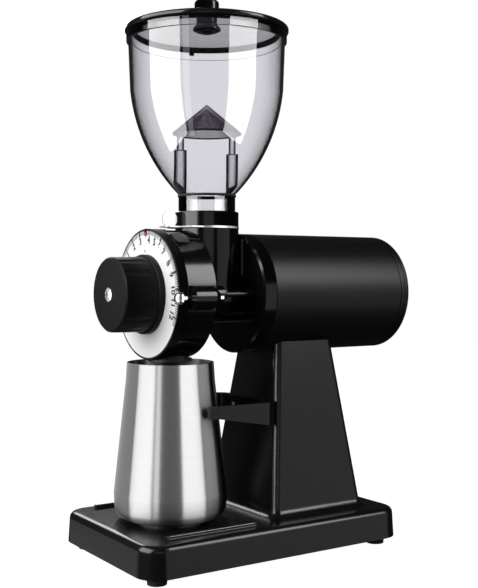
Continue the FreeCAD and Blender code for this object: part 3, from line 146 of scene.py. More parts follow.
soft_box("left_soft_box", painted_pieces, bearing=-97.0, height=0.75, width=1.75, tall=1.40, glow=5.2)
soft_box("right_soft_box", high_right_pieces, bearing=38.0, height=1.00, width=0.60, tall=0.85, glow=6.4)
soft_box("right_low_box", low_right_pieces, bearing=30.0, height=0.08, width=1.30, tall=1.00, glow=0.50,
         aim_height=0.08)
soft_box("front_dim_box", painted_pieces, bearing=-27.0, height=0.30, width=0.85, tall=0.50, glow=0.5,
         aim_height=0.30)
soft_box("left_low_box", painted_pieces, bearing=-146.0, height=-0.47, width=0.80, tall=0.55, glow=0.36,
         aim_height=-0.47)
soft_box("rear_soft_box", painted_pieces, bearing=170.0, height=1.10, width=1.00, tall=0.80, glow=5.0,
         distance=1.6)
strip_light("clear_left_strip", clear_pieces, first=-120.0, last=-70.0, glow=8.0, foot=-0.65)
strip_light("clear_thin_strip", clear_pieces, first=-66.0, last=-57.0, glow=1.6, foot=-0.65)
strip_light("clear_right_strip", clear_pieces, first=-2.0, last=42.0, glow=8.0, foot=-0.65)
strip_light("steel_far_left_strip", steel_pieces, first=-195.0, last=-122.0, glow=0.7)
strip_light("steel_left_strip", steel_pieces, first=-118.0, last=-70.0, glow=3.6)
strip_light("steel_thin_strip", steel_pieces, first=-66.0, last=-55.0, glow=2.6)
strip_light("steel_front_strip", steel_pieces, first=-54.0, last=-12.0, glow=0.36)
strip_light("steel_right_strip", steel_pieces, first=-8.0, last=42.0, glow=3.6)
strip_light("steel_far_right_strip", steel_pieces, first=46.0, last=92.0, glow=0.9)

camera_place = (0.7226, -0.4895, 0.2331)
camera_tilt = math.radians(88.89)
camera_turn = math.radians(56.45)
bpy.ops.object.camera_add(location=camera_place, rotation=(camera_tilt, 0.0, camera_turn))
camera = bpy.context.object
camera.data.lens = 61.56
camera.data.sensor_width = 36.0
camera.data.sensor_fit = "AUTO"
bpy.context.scene.camera = camera


# Base and column: one hollow iron casting, ground and filled, then sprayed with a satin black enamel.
# The foot is a flat slab with rounded edges; the column leans in as it rises and ends in a saddle that
# the motor is bolted down into.
def uneven_finish():
    """Colour and roughness that drift in patches, with a fine grain for roughness and relief."""
    group = bpy.data.node_groups.new("uneven_finish", "ShaderNodeTree")
    for label, kind in (("Colour A", "NodeSocketColor"), ("Colour B", "NodeSocketColor"),
                        ("Rough A", "NodeSocketFloat"), ("Rough B", "NodeSocketFloat"),
                        ("Patch Scale", "NodeSocketFloat"), ("Grain Scale", "NodeSocketFloat"),
                        ("Grain Stretch", "NodeSocketVector")):
        group.interface.new_socket(label, in_out="INPUT", socket_type=kind)
    for label, kind in (("Colour", "NodeSocketColor"), ("Roughness", "NodeSocketFloat"),
                        ("Height", "NodeSocketFloat")):
        group.interface.new_socket(label, in_out="OUTPUT", socket_type=kind)
    nodes, links = group.nodes, group.links
    given = nodes.new("NodeGroupInput")
    out = nodes.new("NodeGroupOutput")
    place = nodes.new("ShaderNodeTexCoord")
    patch = nodes.new("ShaderNodeTexNoise")
    patch.inputs["Detail"].default_value = 4.0
    links.new(place.outputs["Object"], patch.inputs["Vector"])
    links.new(given.outputs["Patch Scale"], patch.inputs["Scale"])
    stretch = nodes.new("ShaderNodeMapping")
    links.new(place.outputs["Object"], stretch.inputs["Vector"])
    links.new(given.outputs["Grain Stretch"], stretch.inputs["Scale"])
    grain = nodes.new("ShaderNodeTexNoise")
    grain.inputs["Detail"].default_value = 3.0
    links.new(stretch.outputs["Vector"], grain.inputs["Vector"])
    links.new(given.outputs["Grain Scale"], grain.inputs["Scale"])
    both = nodes.new("ShaderNodeMath")
    both.operation = "MULTIPLY_ADD"
    both.inputs[1].default_value = 0.5
    half = nodes.new("ShaderNodeMath")
    half.operation = "MULTIPLY"
    half.inputs[1].default_value = 0.5
    links.new(patch.outputs["Fac"], half.inputs[0])
    links.new(grain.outputs["Fac"], both.inputs[0])
    links.new(half.outputs[0], both.inputs[2])
    tint = nodes.new("ShaderNodeMix")
    tint.data_type = "RGBA"
    links.new(both.outputs[0], tint.inputs["Factor"])
    links.new(given.outputs["Colour A"], tint.inputs["A"])
    links.new(given.outputs["Colour B"], tint.inputs["B"])
    rough = nodes.new("ShaderNodeMix")
    links.new(both.outputs[0], rough.inputs["Factor"])
    links.new(given.outputs["Rough A"], rough.inputs["A"])
    links.new(given.outputs["Rough B"], rough.inputs["B"])
    links.new(tint.outputs["Result"], out.inputs["Colour"])
    links.new(rough.outputs["Result"], out.inputs["Roughness"])
    links.new(grain.outputs["Fac"], out.inputs["Height"])
    return group


uneven = uneven_finish()


def finish(name, colours, rough, patch, grain, relief, stretch=(1.0, 1.0, 1.0), **sockets):
    """A finish with its own two tints, two roughnesses, sizes of patch and grain, and depth of relief."""
    material = bpy.data.materials.new(name)
    material.use_nodes = True
    nodes, links = material.node_tree.nodes, material.node_tree.links
    shader = nodes["Principled BSDF"]
    effect = nodes.new("ShaderNodeGroup")
    effect.node_tree = uneven
    effect.inputs["Colour A"].default_value = (*colours[0], 1.0)
    effect.inputs["Colour B"].default_value = (*colours[1], 1.0)
    effect.inputs["Rough A"].default_value = rough[0]
    effect.inputs["Rough B"].default_value = rough[1]
    effect.inputs["Patch Scale"].default_value = patch
    effect.inputs["Grain Scale"].default_value = grain
    effect.inputs["Grain Stretch"].default_value = stretch
    links.new(effect.outputs["Colour"], shader.inputs["Base Color"])
    links.new(effect.outputs["Roughness"], shader.inputs["Roughness"])
    if relief:
        bump = nodes.new("ShaderNodeBump")
        bump.inputs["Strength"].default_value = 1.0
        bump.inputs["Distance"].default_value = relief
        links.new(effect.outputs["Height"], bump.inputs["Height"])
        links.new(bump.outputs["Normal"], shader.inputs["Normal"])
    for socket, value in sockets.items():
        shader.inputs[socket.replace("_", " ")].default_value = value
    return material


def billet(low, high):
    """A block between two corners, as a start."""
    low, high = Vector(low), Vector(high)
    bpy.ops.object.select_all(action="DESELECT")
    bpy.ops.mesh.primitive_cube_add(size=1.0, location=(low + high) / 2)
    bpy.context.object.scale = [abs(side) for side in high - low]
    bpy.ops.object.transform_apply(location=True, rotation=True, scale=True)
    return bpy.context.object


def hold(piece):
    """Make this the one piece in hand."""
    bpy.ops.object.select_all(action="DESELECT")
    piece.select_set(True)
    bpy.context.view_layer.objects.active = piece


def turned(outline, centre, axis, steps=96):
    """A lathe-turned skin from an outline of (radius, distance along the axis) points."""
    weld_gap = 0.000002
    along = Vector(axis)
    out = Vector((1.0, 0.0, 0.0)) if abs(along.x) < 0.5 else Vector((0.0, 0.0, 1.0))
    points = [Vector(centre) + out * radius + along * distance for radius, distance in outline]
    bpy.ops.object.select_all(action="DESELECT")
    bpy.ops.mesh.primitive_plane_add(size=0.001)
    bpy.ops.object.mode_set(mode="EDIT")
    bpy.ops.mesh.select_mode(type="VERT")
    bpy.ops.mesh.select_all(action="SELECT")
    bpy.ops.mesh.merge(type="CENTER")
    bpy.ops.transform.translate(value=points[0])
    for here, there in zip(points, points[1:]):
        bpy.ops.mesh.extrude_region_move(TRANSFORM_OT_translate={"value": there - here})
    bpy.ops.mesh.select_all(action="SELECT")
    bpy.ops.mesh.spin(steps=steps, angle=2.0 * math.pi, center=centre, axis=along)
    bpy.ops.mesh.select_all(action="SELECT")
    bpy.ops.mesh.remove_doubles(threshold=weld_gap)
    bpy.ops.mesh.normals_make_consistent(inside=False)
    bpy.ops.object.mode_set(mode="OBJECT")
    return bpy.context.object


def round_edges(piece, width, segments=3):
    """Round every edge that turns by more than a gentle bend."""
    gentle_bend = 40.0
    hold(piece)
    bpy.ops.object.modifier_add(type="BEVEL")
    rounding = piece.modifiers[-1]
    rounding.width = width
    rounding.segments = segments
    rounding.limit_method = "ANGLE"
    rounding.angle_limit = math.radians(gentle_bend)
    bpy.ops.object.modifier_apply(modifier=rounding.name)


def combine(piece, other, operation):
    """Carve the other shape out of the piece, or weld it on, and put the other shape away."""
    hold(piece)
    bpy.ops.object.modifier_add(type="BOOLEAN")
    joint = piece.modifiers[-1]
    joint.operation = operation
    joint.solver = "EXACT"
    joint.object = other
    bpy.ops.object.modifier_apply(modifier=joint.name)
    bpy.data.objects.remove(other)


def fit(piece, name, body, slot, material, *nodes):
    """Shade a finished piece, give it its finish and set it on its body in place of its CAD nodes."""
    sharp_bend = 35.0
    hold(piece)
    piece.name = name
    piece.data.name = name
    piece.data.materials.clear()
    piece.data.materials.append(material)
    bpy.ops.object.transform_apply(location=True, rotation=True, scale=True)
    bpy.ops.object.shade_smooth_by_angle(angle=math.radians(sharp_bend))
    bpy.ops.object.modifier_add(type="WEIGHTED_NORMAL")
    piece.modifiers[-1].keep_sharp = True
    bpy.ops.object.modifier_apply(modifier=piece.modifiers[-1].name)
    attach(piece, body)
    if nodes:
        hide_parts(*nodes)


satin_enamel = finish("satin_black_enamel", colours=((0.003, 0.003, 0.003), (0.005, 0.005, 0.005)),
                      rough=(0.19, 0.24), patch=14.0, grain=900.0, relief=0.000002)


def dress(material, *nodes):
    """Give CAD nodes whose shape is right their finish."""
    for node in nodes:
        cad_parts[node].data.materials.clear()
        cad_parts[node].data.materials.append(material)


dress(satin_enamel, "base_casting")

# Underside: a folded sheet of zinc-plated steel closes the hollow base. Four moulded rubber feet hold it,
# each drawn up by a plated pan-head screw with a cross recess.
grey_sheet = finish("zinc_sheet", colours=((0.20, 0.20, 0.21), (0.30, 0.30, 0.31)), rough=(0.35, 0.5),
                    patch=25.0, grain=500.0, relief=0.00001, Metallic=0.9)
black_rubber = finish("black_rubber", colours=((0.010, 0.010, 0.010), (0.018, 0.018, 0.018)),
                      rough=(0.6, 0.8), patch=60.0, grain=2500.0, relief=0.00003)
screw_steel = finish("plated_screw_steel", colours=((0.52, 0.52, 0.52), (0.62, 0.62, 0.61)),
                     rough=(0.18, 0.30), patch=90.0, grain=1500.0, relief=0.000005, Metallic=1.0)
dress(grey_sheet, "bottom_cover")
dress(black_rubber, "rubber_feet")


def arc_through(first, middle, last, count):
    """Points of an outline on the round stretch through three points, the first and last among them."""
    (ax, ay), (bx, by), (cx, cy) = first, middle, last
    twice = 2 * (ax * (by - cy) + bx * (cy - ay) + cx * (ay - by))
    a, b, c = ax * ax + ay * ay, bx * bx + by * by, cx * cx + cy * cy
    centre_x = (a * (by - cy) + b * (cy - ay) + c * (ay - by)) / twice
    centre_y = (a * (cx - bx) + b * (ax - cx) + c * (bx - ax)) / twice
    radius = math.hypot(ax - centre_x, ay - centre_y)
    start = math.atan2(ay - centre_y, ax - centre_x)
    sweep = math.remainder(math.atan2(cy - centre_y, cx - centre_x) - start, 2 * math.pi)
    turns = [start + sweep * i / count for i in range(count + 1)]
    return [(centre_x + radius * math.cos(turn), centre_y + radius * math.sin(turn)) for turn in turns]


head_bulge = (0.6, 0.87)
head_shoulder = 0.4
recess_reach = 0.58
recess_wide = 0.13
recess_from, recess_to = 1.2, 0.4


def cross_head_screw(seat, along, head, tall, radius, length):
    """A pan-head screw with a cross recess, from the seat under its head to the end of its shank."""
    seat, along = Vector(seat), Vector(along)
    bulge = (head_bulge[0] * head, -head_bulge[1] * tall)
    dome = arc_through((0.0, -tall), bulge, (head, -head_shoulder * tall), count=6)
    shank = [(head, 0.0), (radius, 0.0), (radius, length - radius), (0.0, length)]
    screw = turned(dome + shank, seat, along, steps=32)
    first, last = [axis for axis in (Vector((1, 0, 0)), Vector((0, 1, 0)), Vector((0, 0, 1)))
                   if abs(axis.dot(along)) < 0.5]
    for long_way, short_way in ((first, last), (last, first)):
        reach = recess_reach * head * long_way + recess_wide * head * short_way
        arm = billet(seat - recess_from * tall * along - reach, seat - recess_to * tall * along + reach)
        combine(screw, arm, "DIFFERENCE")
    return screw


foot_low, foot_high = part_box("foot_screws")
foot_head = 0.004
foot_head_tall = 0.002
foot_shank = 0.002
foot_corners = [(x, y) for x in (foot_low.x + foot_head, foot_high.x - foot_head)
                for y in (foot_low.y + foot_head, foot_high.y - foot_head)]
for number, (x, y) in enumerate(foot_corners, 1):
    screw = cross_head_screw((x, y, foot_low.z + foot_head_tall), (0.0, 0.0, 1.0), foot_head, foot_head_tall,
                             foot_shank, foot_high.z - foot_low.z - foot_head_tall)
    fit(screw, f"foot_screw_{number}", "stand", "steel", screw_steel, "foot_screws")

# Guide rails: two extruded strips, each with a rib on a flat foot, pressed onto the deck and closed by a
# stop in front. They are of black plastic, a little duller than the lid.
rail_moulding = finish("satin_rail_moulding", colours=((0.008, 0.008, 0.008), (0.012, 0.012, 0.012)),
                       rough=(0.10, 0.16), patch=30.0, grain=900.0, relief=0.000002,
                       Specular_IOR_Level=0.9)
rail_foot_tall = 0.0013
rail_step = 0.0010
rail_stop = 0.0016
rib_rounding = 0.0010
rail_rounding = 0.0004
for side in ("left", "right"):
    low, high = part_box(f"{side}_rail")
    rail = billet(low, (high.x, high.y, low.z + rail_foot_tall))
    rib = billet((low.x + rail_step, low.y + rail_step, low.z), (high.x - rail_step, high.y, high.z))
    stop = billet(low, (high.x, low.y + rail_stop, high.z))
    round_edges(rail, rail_rounding)
    round_edges(rib, rib_rounding)
    round_edges(stop, rail_rounding)
    combine(rail, rib, "UNION")
    combine(rail, stop, "UNION")
    fit(rail, f"{side}_guide_rail", "stand", "black_moulding", rail_moulding, f"{side}_rail")
    keep_off(rail, low_right_pieces)

# Switch and electrics: a rocker switch snapped into the column's left side, a capacitor and a terminal
# block under the column, and a screwed gland where the power cord enters at the back.
black_moulding = finish("black_moulding", colours=((0.012, 0.012, 0.012), (0.020, 0.020, 0.020)),
                        rough=(0.35, 0.48), patch=40.0, grain=1800.0, relief=0.00002)
inner_moulding = finish("inner_moulding", colours=((0.10, 0.10, 0.10), (0.15, 0.15, 0.14)),
                        rough=(0.4, 0.55), patch=40.0, grain=1500.0, relief=0.00001)
bare_aluminium = finish("bare_aluminium", colours=((0.55, 0.55, 0.56), (0.68, 0.68, 0.69)),
                        rough=(0.28, 0.42), patch=30.0, grain=900.0, relief=0.00001, Metallic=1.0)
dress(black_moulding, "switch_housing", "switch_rocker", "cord_gland")
dress(inner_moulding, "terminal_block")
dress(bare_aluminium, "run_capacitor")

# Motor: a laminated stator and rotor with copper windings, two ball bearings, a moulded fan, a drawn
# steel case and a pressed rear cap with cooling slots, sprayed to match the castings.
core_steel = finish("core_steel", colours=((0.28, 0.28, 0.29), (0.40, 0.40, 0.41)), rough=(0.35, 0.5),
                    patch=20.0, grain=3.0, relief=0.00004, stretch=(1.0, 500.0, 1.0), Metallic=1.0)
copper = finish("enamelled_copper", colours=((0.50, 0.20, 0.07), (0.66, 0.30, 0.12)), rough=(0.25, 0.4),
                patch=40.0, grain=400.0, relief=0.0001, stretch=(1.0, 0.2, 1.0), Metallic=1.0)
bright_steel = finish("bright_steel", colours=((0.66, 0.66, 0.66), (0.76, 0.76, 0.75)),
                      rough=(0.08, 0.16), patch=40.0, grain=1200.0, relief=0.000003, Metallic=1.0)
dress(core_steel, "stator_core", "rotor_core")
dress(copper, "stator_windings")
dress(bright_steel, "motor_shaft", "front_bearing", "rear_bearing")
dress(inner_moulding, "cooling_fan", "shaft_seal")
motor_enamel = finish("dull_black_enamel", colours=((0.004, 0.004, 0.004), (0.006, 0.006, 0.006)),
                      rough=(0.36, 0.42), patch=14.0, grain=900.0, relief=0.000003,
                      Specular_IOR_Level=0.36)
dress(motor_enamel, "motor_shell", "rear_cap")
dress(screw_steel, "motor_bolts")

cap_low, cap_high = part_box("rear_cap_screws")
cap_head = 0.0036
cap_head_tall = 0.0016
cap_shank = 0.002
cap_circle = 0.0452
for number, turn in enumerate((0.0, 120.0, 240.0), 1):
    x = cap_circle * math.sin(math.radians(turn))
    z = cap_high.z - cap_head - cap_circle + cap_circle * math.cos(math.radians(turn))
    screw = cross_head_screw((x, cap_high.y - cap_head_tall, z), (0.0, -1.0, 0.0), cap_head, cap_head_tall,
                             cap_shank, cap_high.y - cap_low.y - cap_head_tall)
    fit(screw, f"rear_cap_screw_{number}", "stand", "steel", screw_steel, "rear_cap_screws")

# Grinder body and burr housing: two castings, bored and faced, sprayed gloss black outside. Tie bolts and
# nuts draw the drum against the body, and a bare foil label is stuck on the drum.
black_enamel = finish("gloss_black_enamel", colours=((0.002, 0.002, 0.002), (0.004, 0.004, 0.004)),
                      rough=(0.13, 0.18), patch=14.0, grain=900.0, relief=0.000002)
dress(black_enamel, "grinder_body", "burr_housing")
keep_off(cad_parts["grinder_body"], high_right_pieces)
black_oxide = finish("black_oxide_steel", colours=((0.030, 0.030, 0.032), (0.045, 0.045, 0.046)),
                     rough=(0.20, 0.34), patch=60.0, grain=1200.0, relief=0.000004, Metallic=0.8)
dress(black_oxide, "tie_bolts", "tie_nuts")

drum_low, drum_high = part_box("burr_housing")
drum_axis = Vector((0.0, 0.0, (drum_low.z + drum_high.z) / 2))
label_radius = (drum_high.z - drum_low.z) / 2
label_thick = 0.0003
label_rounding = 0.0001
label_from, label_to = 0.0033, 0.0143
label_first_turn, label_last_turn = 20.5, 37.0
first_turn = math.radians(label_first_turn)
bpy.ops.object.select_all(action="DESELECT")
bpy.ops.mesh.primitive_plane_add(size=1.0, rotation=(0.0, math.radians(90.0), 0.0))
label = bpy.context.object
label.scale = (label_thick, label_to - label_from, 1.0)
label_middle = drum_low.y + (label_from + label_to) / 2
label.location = (0.0, label_middle, drum_axis.z + label_radius + label_thick / 2)
bpy.ops.object.transform_apply(location=True, rotation=True, scale=True)
bpy.ops.object.mode_set(mode="EDIT")
bpy.ops.mesh.select_all(action="SELECT")
bpy.ops.mesh.spin(steps=10, angle=math.radians(label_last_turn - label_first_turn), center=drum_axis,
                  axis=(0.0, -1.0, 0.0))
bpy.ops.mesh.select_all(action="SELECT")
bpy.ops.mesh.normals_make_consistent(inside=False)
bpy.ops.object.mode_set(mode="OBJECT")
label.rotation_euler.y = first_turn
label.location = drum_axis - Vector((math.sin(first_turn), 0.0, math.cos(first_turn))) * drum_axis.z
round_edges(label, label_rounding, segments=1)
label_grey = finish("grey_label_foil", colours=((0.050, 0.050, 0.053), (0.070, 0.070, 0.073)),
                    rough=(0.3, 0.42), patch=60.0, grain=900.0, relief=0.000003)
fit(label, "drum_label", "stand", "black_paint", label_grey)

# Worm and burrs: a cast worm pushes the beans between two hardened steel discs with cut teeth, each
# screwed to a turned carrier.
burr_steel = finish("hardened_burr_steel", colours=((0.36, 0.36, 0.37), (0.48, 0.48, 0.48)),
                    rough=(0.2, 0.34), patch=60.0, grain=800.0, relief=0.00001, Metallic=1.0)
dress(burr_steel, "rotating_burr", "fixed_burr", "feed_auger")
dress(bare_aluminium, "burr_carrier", "fixed_carrier", "adjusting_spindle")
dress(screw_steel, "rotating_burr_screws", "fixed_burr_screws", "carrier_dowels")

# Lock pin: a chromed plunger with a domed head that slides in a round boss on the drum, pushed home by a
# wound wire spring, so that the dial can't turn by itself.
dark_chrome = finish("polished_chrome", colours=((0.36, 0.36, 0.37), (0.42, 0.42, 0.43)),
                     rough=(0.06, 0.12), patch=40.0, grain=1200.0, relief=0.000002, Metallic=1.0)
dress(dark_chrome, "lock_pin")

spring_low, spring_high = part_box("lock_spring")
spring_axis = (spring_low + spring_high) / 2
spring_long = spring_high.y - spring_low.y
wire = 0.0009
coil_turns = 6
coil_radius = (spring_high.x - spring_low.x - wire) / 2
bpy.ops.object.select_all(action="DESELECT")
bpy.ops.mesh.primitive_circle_add(vertices=10, radius=wire / 2, location=(coil_radius, 0.0, 0.0))
coil = bpy.context.object
bpy.ops.object.transform_apply(location=True, rotation=True, scale=True)
bpy.ops.object.modifier_add(type="SCREW")
winding = coil.modifiers[-1]
winding.axis = "Y"
winding.iterations = coil_turns
winding.screw_offset = (spring_long - wire) / coil_turns
winding.steps = 24
winding.render_steps = 24
bpy.ops.object.modifier_apply(modifier=winding.name)
bpy.ops.object.mode_set(mode="EDIT")
bpy.ops.mesh.select_all(action="SELECT")
bpy.ops.mesh.fill_holes(sides=0)
bpy.ops.mesh.select_all(action="SELECT")
bpy.ops.mesh.normals_make_consistent(inside=False)
bpy.ops.object.mode_set(mode="OBJECT")
coil.location = (spring_axis.x, spring_low.y + wire / 2, spring_axis.z)
fit(coil, "lock_coil", "stand", "steel", bright_steel, "lock_spring")
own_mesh(coil)
under_strip_lights(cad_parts["lock_pin"], steel_pieces)

# Spout: a short moulded chute pushed up under the drum's outlet, that drops the coffee into the cup. It is
# of black plastic with a fine grain.
dress(black_moulding, "spout")

# Dial: a turned black ring with a white enamelled plate set into its face, printed with a scale in black
# ink. A bent strip fixed to the drum above it carries a red pointer.
dial_white = finish("white_dial_enamel", colours=((0.72, 0.72, 0.715), (0.78, 0.78, 0.775)),
                    rough=(0.28, 0.38), patch=25.0, grain=900.0, relief=0.000004)
pointer_red = finish("red_pointer_paint", colours=((0.42, 0.012, 0.015), (0.52, 0.02, 0.02)),
                     rough=(0.3, 0.4), patch=60.0, grain=900.0, relief=0.000004)
matt_moulding = finish("matt_black_moulding", colours=((0.006, 0.006, 0.006), (0.009, 0.009, 0.009)),
                       rough=(0.42, 0.52), patch=50.0, grain=2600.0, relief=0.00002,
                       Specular_IOR_Level=0.14)
dress(matt_moulding, "dial_ring")
keep_off(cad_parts["dial_ring"], high_right_pieces, low_right_pieces)
dress(dial_white, "dial_plate")

dial_low, dial_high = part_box("dial_plate")
dial_axis = Vector((0.0, dial_low.y, (dial_low.z + dial_high.z) / 2))
ink_thick = 0.00005
numeral_tall = 0.0078
numeral_bold = 0.0003
numeral_radius = 0.0440
numeral_turns = (-44.0, -28.4, -13.0, 5.9, 18.1, 29.0, 39.8, 55.6, 68.9, 84.6, 97.6, 110.6)
tick_from, tick_to, tick_wide = 0.0482, 0.0516, 0.00080
long_tick_from, long_tick_wide = 0.0470, 0.00110
small_tick_turn, small_tick_from, small_tick_to = -3.2, 0.0340, 0.0362
edge_wide = 0.0009
first_tick, last_tick, tick_steps = -50.0, 118.0, 84


def printed_line(turn, inner, outer, wide):
    """One inked line of the scale, at a turn clockwise from the top of the dial."""
    line = billet((-wide / 2, -ink_thick, inner), (wide / 2, 0.0, outer))
    line.location = dial_axis
    line.rotation_euler.y = math.radians(turn)
    bpy.ops.object.transform_apply(location=True, rotation=True, scale=True)
    return line


scale = printed_line(first_tick, tick_from, tick_to, tick_wide)
bpy.ops.object.mode_set(mode="EDIT")
bpy.ops.mesh.select_all(action="SELECT")
bpy.ops.mesh.spin(steps=tick_steps, dupli=True, angle=math.radians(last_tick - first_tick), center=dial_axis,
                  axis=(0.0, -1.0, 0.0))
bpy.ops.object.mode_set(mode="OBJECT")
edge = dial_high.x
border = [(edge - edge_wide, 0.0), (edge - edge_wide, ink_thick), (edge, ink_thick), (edge, 0.0)]
printed = [scale, printed_line(small_tick_turn, small_tick_from, small_tick_to, long_tick_wide),
           turned(border + border[:1], dial_axis, (0.0, -1.0, 0.0), steps=128)]
for number, turn in enumerate(numeral_turns, 1):
    printed.append(printed_line(turn, long_tick_from, tick_to, long_tick_wide))
    bpy.ops.object.select_all(action="DESELECT")
    bpy.ops.object.text_add()
    numeral = bpy.context.object
    numeral.data.body = str(number)
    numeral.data.size = numeral_tall
    numeral.data.align_x = "CENTER"
    numeral.data.align_y = "CENTER"
    numeral.data.extrude = ink_thick / 2
    numeral.data.offset = numeral_bold
    bpy.ops.object.convert(target="MESH")
    numeral = bpy.context.object
    lean = math.radians(turn)
    numeral.rotation_euler = (math.radians(90.0), lean, 0.0)
    numeral.location = dial_axis + Vector((math.sin(lean) * numeral_radius, -ink_thick / 2,
                                           math.cos(lean) * numeral_radius))
    bpy.ops.object.transform_apply(location=True, rotation=True, scale=True)
    printed.append(numeral)
hold(scale)
for piece in printed:
    piece.select_set(True)
bpy.ops.object.join()
black_ink = finish("black_dial_ink", colours=((0.012, 0.012, 0.012), (0.022, 0.022, 0.022)),
                   rough=(0.35, 0.5), patch=60.0, grain=1500.0, relief=0.0)
fit(scale, "dial_scale", "dial_body", "black_paint", black_ink)

pointer_low, pointer_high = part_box("dial_pointer")
strip_thick = 0.0005
strip_rise = 0.0002
strip_rounding = 0.0001
strip_foot = drum_high.z + strip_rise
strip = billet((pointer_low.x, pointer_low.y, strip_foot),
               (pointer_high.x, pointer_high.y, strip_foot + strip_thick))
tongue = billet((pointer_low.x, pointer_low.y, pointer_low.z),
                (pointer_high.x, pointer_low.y + strip_thick, strip_foot + strip_thick))
combine(strip, tongue, "UNION")
round_edges(strip, strip_rounding, segments=2)
fit(strip, "pointer_strip", "stand", "black_paint", black_enamel, "dial_pointer")
drop_wide = 0.0013
drop_tall = 0.0042
drop_bulge = 0.68
drop_flat = 0.35
drop_inset = 0.0003
drop_hang = 0.0012
drop_y = pointer_low.y + drop_inset
drop = turned(arc_through((0.0, 0.0), (drop_wide, drop_bulge * drop_tall), (0.0, drop_tall), count=14),
              (0.0, drop_y, pointer_low.z - drop_hang), (0.0, 0.0, 1.0), steps=24)
hold(drop)
drop.scale = (1.0, drop_flat, 1.0)
drop.location.y = drop_y * (1.0 - drop_flat)
fit(drop, "pointer_drop", "stand", "pointer_red", pointer_red)

# Grind knob: a fluted moulding in matt black, from a mould that was spark-eroded to a fine grain. A bright
# cross-head screw holds it on the adjusting spindle.
dress(matt_moulding, "grind_knob")
keep_off(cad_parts["grind_knob"], high_right_pieces, low_right_pieces)

screw_low, screw_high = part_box("knob_screw")
screw_head = (screw_high.x - screw_low.x) / 2
screw_head_tall = 0.0024
screw_shank = 0.0025
screw_seat = (0.0, screw_low.y + screw_head_tall, (screw_low.z + screw_high.z) / 2)
screw = cross_head_screw(screw_seat, (0.0, 1.0, 0.0), screw_head, screw_head_tall, screw_shank,
                         screw_high.y - screw_low.y - screw_head_tall)
fit(screw, "knob_cross_screw", "dial_body", "bright_steel", bright_steel, "knob_screw")
under_strip_lights(screw, steel_pieces)

# Cup fork: a cast fork in the same gloss enamel as the drum, with rubber sleeves on its tips. Two blackened
# screws hold it to the front of the column.
dress(black_enamel, "cup_fork")
dress(black_rubber, "fork_tips")

fork_low, fork_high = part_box("fork_screws")
fork_head = 0.004
fork_head_tall = 0.0022
fork_shank = 0.002
for name, x in (("left_fork_screw", fork_low.x + fork_head), ("right_fork_screw", fork_high.x - fork_head)):
    fork_seat = (x, fork_low.y + fork_head_tall, (fork_low.z + fork_high.z) / 2)
    screw = cross_head_screw(fork_seat, (0.0, 1.0, 0.0), fork_head, fork_head_tall, fork_shank,
                             fork_high.y - fork_low.y - fork_head_tall)
    fit(screw, name, "stand", "steel", black_oxide, "fork_screws")

# Bean gate and collar: a satin steel slide with a finger tab, in a shim of the same steel. Above it is a
# turned collar in gloss enamel that the hopper stands in.
satin_steel = finish("satin_gate_steel", colours=((0.42, 0.42, 0.42), (0.50, 0.50, 0.50)),
                     rough=(0.28, 0.36), patch=40.0, grain=1200.0, relief=0.000003, Metallic=1.0)
dress(satin_steel, "bean_gate", "gate_spacer")
under_strip_lights(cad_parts["bean_gate"], steel_pieces)
under_strip_lights(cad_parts["gate_spacer"], steel_pieces)
dress(black_enamel, "hopper_collar")
keep_off(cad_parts["hopper_collar"], high_right_pieces, low_right_pieces)


# Hopper, cone and lid: the bowl and the lid's pane are clear plastic with a smoky violet tint, the cone
# is the same in a deeper tint, and the lid's ring and knob are glossy black mouldings.
def deepen_edges(material, edge_darkening_stops):
    """Darken a clear plastic's tint towards black where it is seen edge on: painted dark edges, far deeper
    than a longer way through the wall would give.
    """
    nodes, links = material.node_tree.nodes, material.node_tree.links
    shader = nodes["Principled BSDF"]
    tint = shader.inputs["Base Color"].links[0].from_socket
    # The facing drives a ramp that darkens the tint to black at the edges: a painted dark edge.
    lean = nodes.new("ShaderNodeLayerWeight")
    lean.inputs["Blend"].default_value = 0.5
    edge_darkening = nodes.new("ShaderNodeValToRGB")
    edge_darkening.color_ramp.interpolation = "EASE"
    while len(edge_darkening.color_ramp.elements) < len(edge_darkening_stops):
        edge_darkening.color_ramp.elements.new(0.5)
    for stop, (share, level) in zip(edge_darkening.color_ramp.elements, edge_darkening_stops):
        stop.position = share
        stop.color = (level, level, level, 1.0)
    links.new(lean.outputs["Facing"], edge_darkening.inputs["Fac"])
    mix = nodes.new("ShaderNodeMix")
    mix.data_type = "RGBA"
    mix.blend_type = "MULTIPLY"
    mix.inputs["Factor"].default_value = 1.0
    links.new(tint, mix.inputs["A"])
    links.new(edge_darkening.outputs["Color"], mix.inputs["B"])
    links.new(mix.outputs["Result"], shader.inputs["Base Color"])


# Each clear plastic's tint below is darkened towards black where it is seen edge on: painted dark edges.
smoked = finish("smoked_clear_plastic", colours=((0.895, 0.89, 0.925), (0.925, 0.92, 0.95)),
                rough=(0.0, 0.02), patch=8.0, grain=300.0, relief=0.0, Transmission_Weight=1.0, IOR=1.585)
deepen_edges(smoked, ((0.0, 1.0), (0.3, 1.0), (0.55, 0.86), (0.8, 0.7), (1.0, 0.0)))
# Spigot and band: the tint a shade deeper, darkened to black sooner where seen edge on, painted dark edges.
neck_band_shaded_smoked = finish("thick_smoked_plastic", colours=((0.87, 0.865, 0.89), (0.91, 0.905, 0.93)),
                      rough=(0.0, 0.02), patch=8.0, grain=300.0, relief=0.0, Transmission_Weight=1.0,
                      IOR=1.585)
deepen_edges(neck_band_shaded_smoked, ((0.0, 1.0), (0.12, 0.95), (0.28, 0.2), (0.42, 0.0), (1.0, 0.0)))
deep_smoked = finish("deep_smoked_plastic", colours=((0.050, 0.030, 0.058), (0.070, 0.044, 0.080)),
                     rough=(0.03, 0.08), patch=8.0, grain=300.0, relief=0.0)
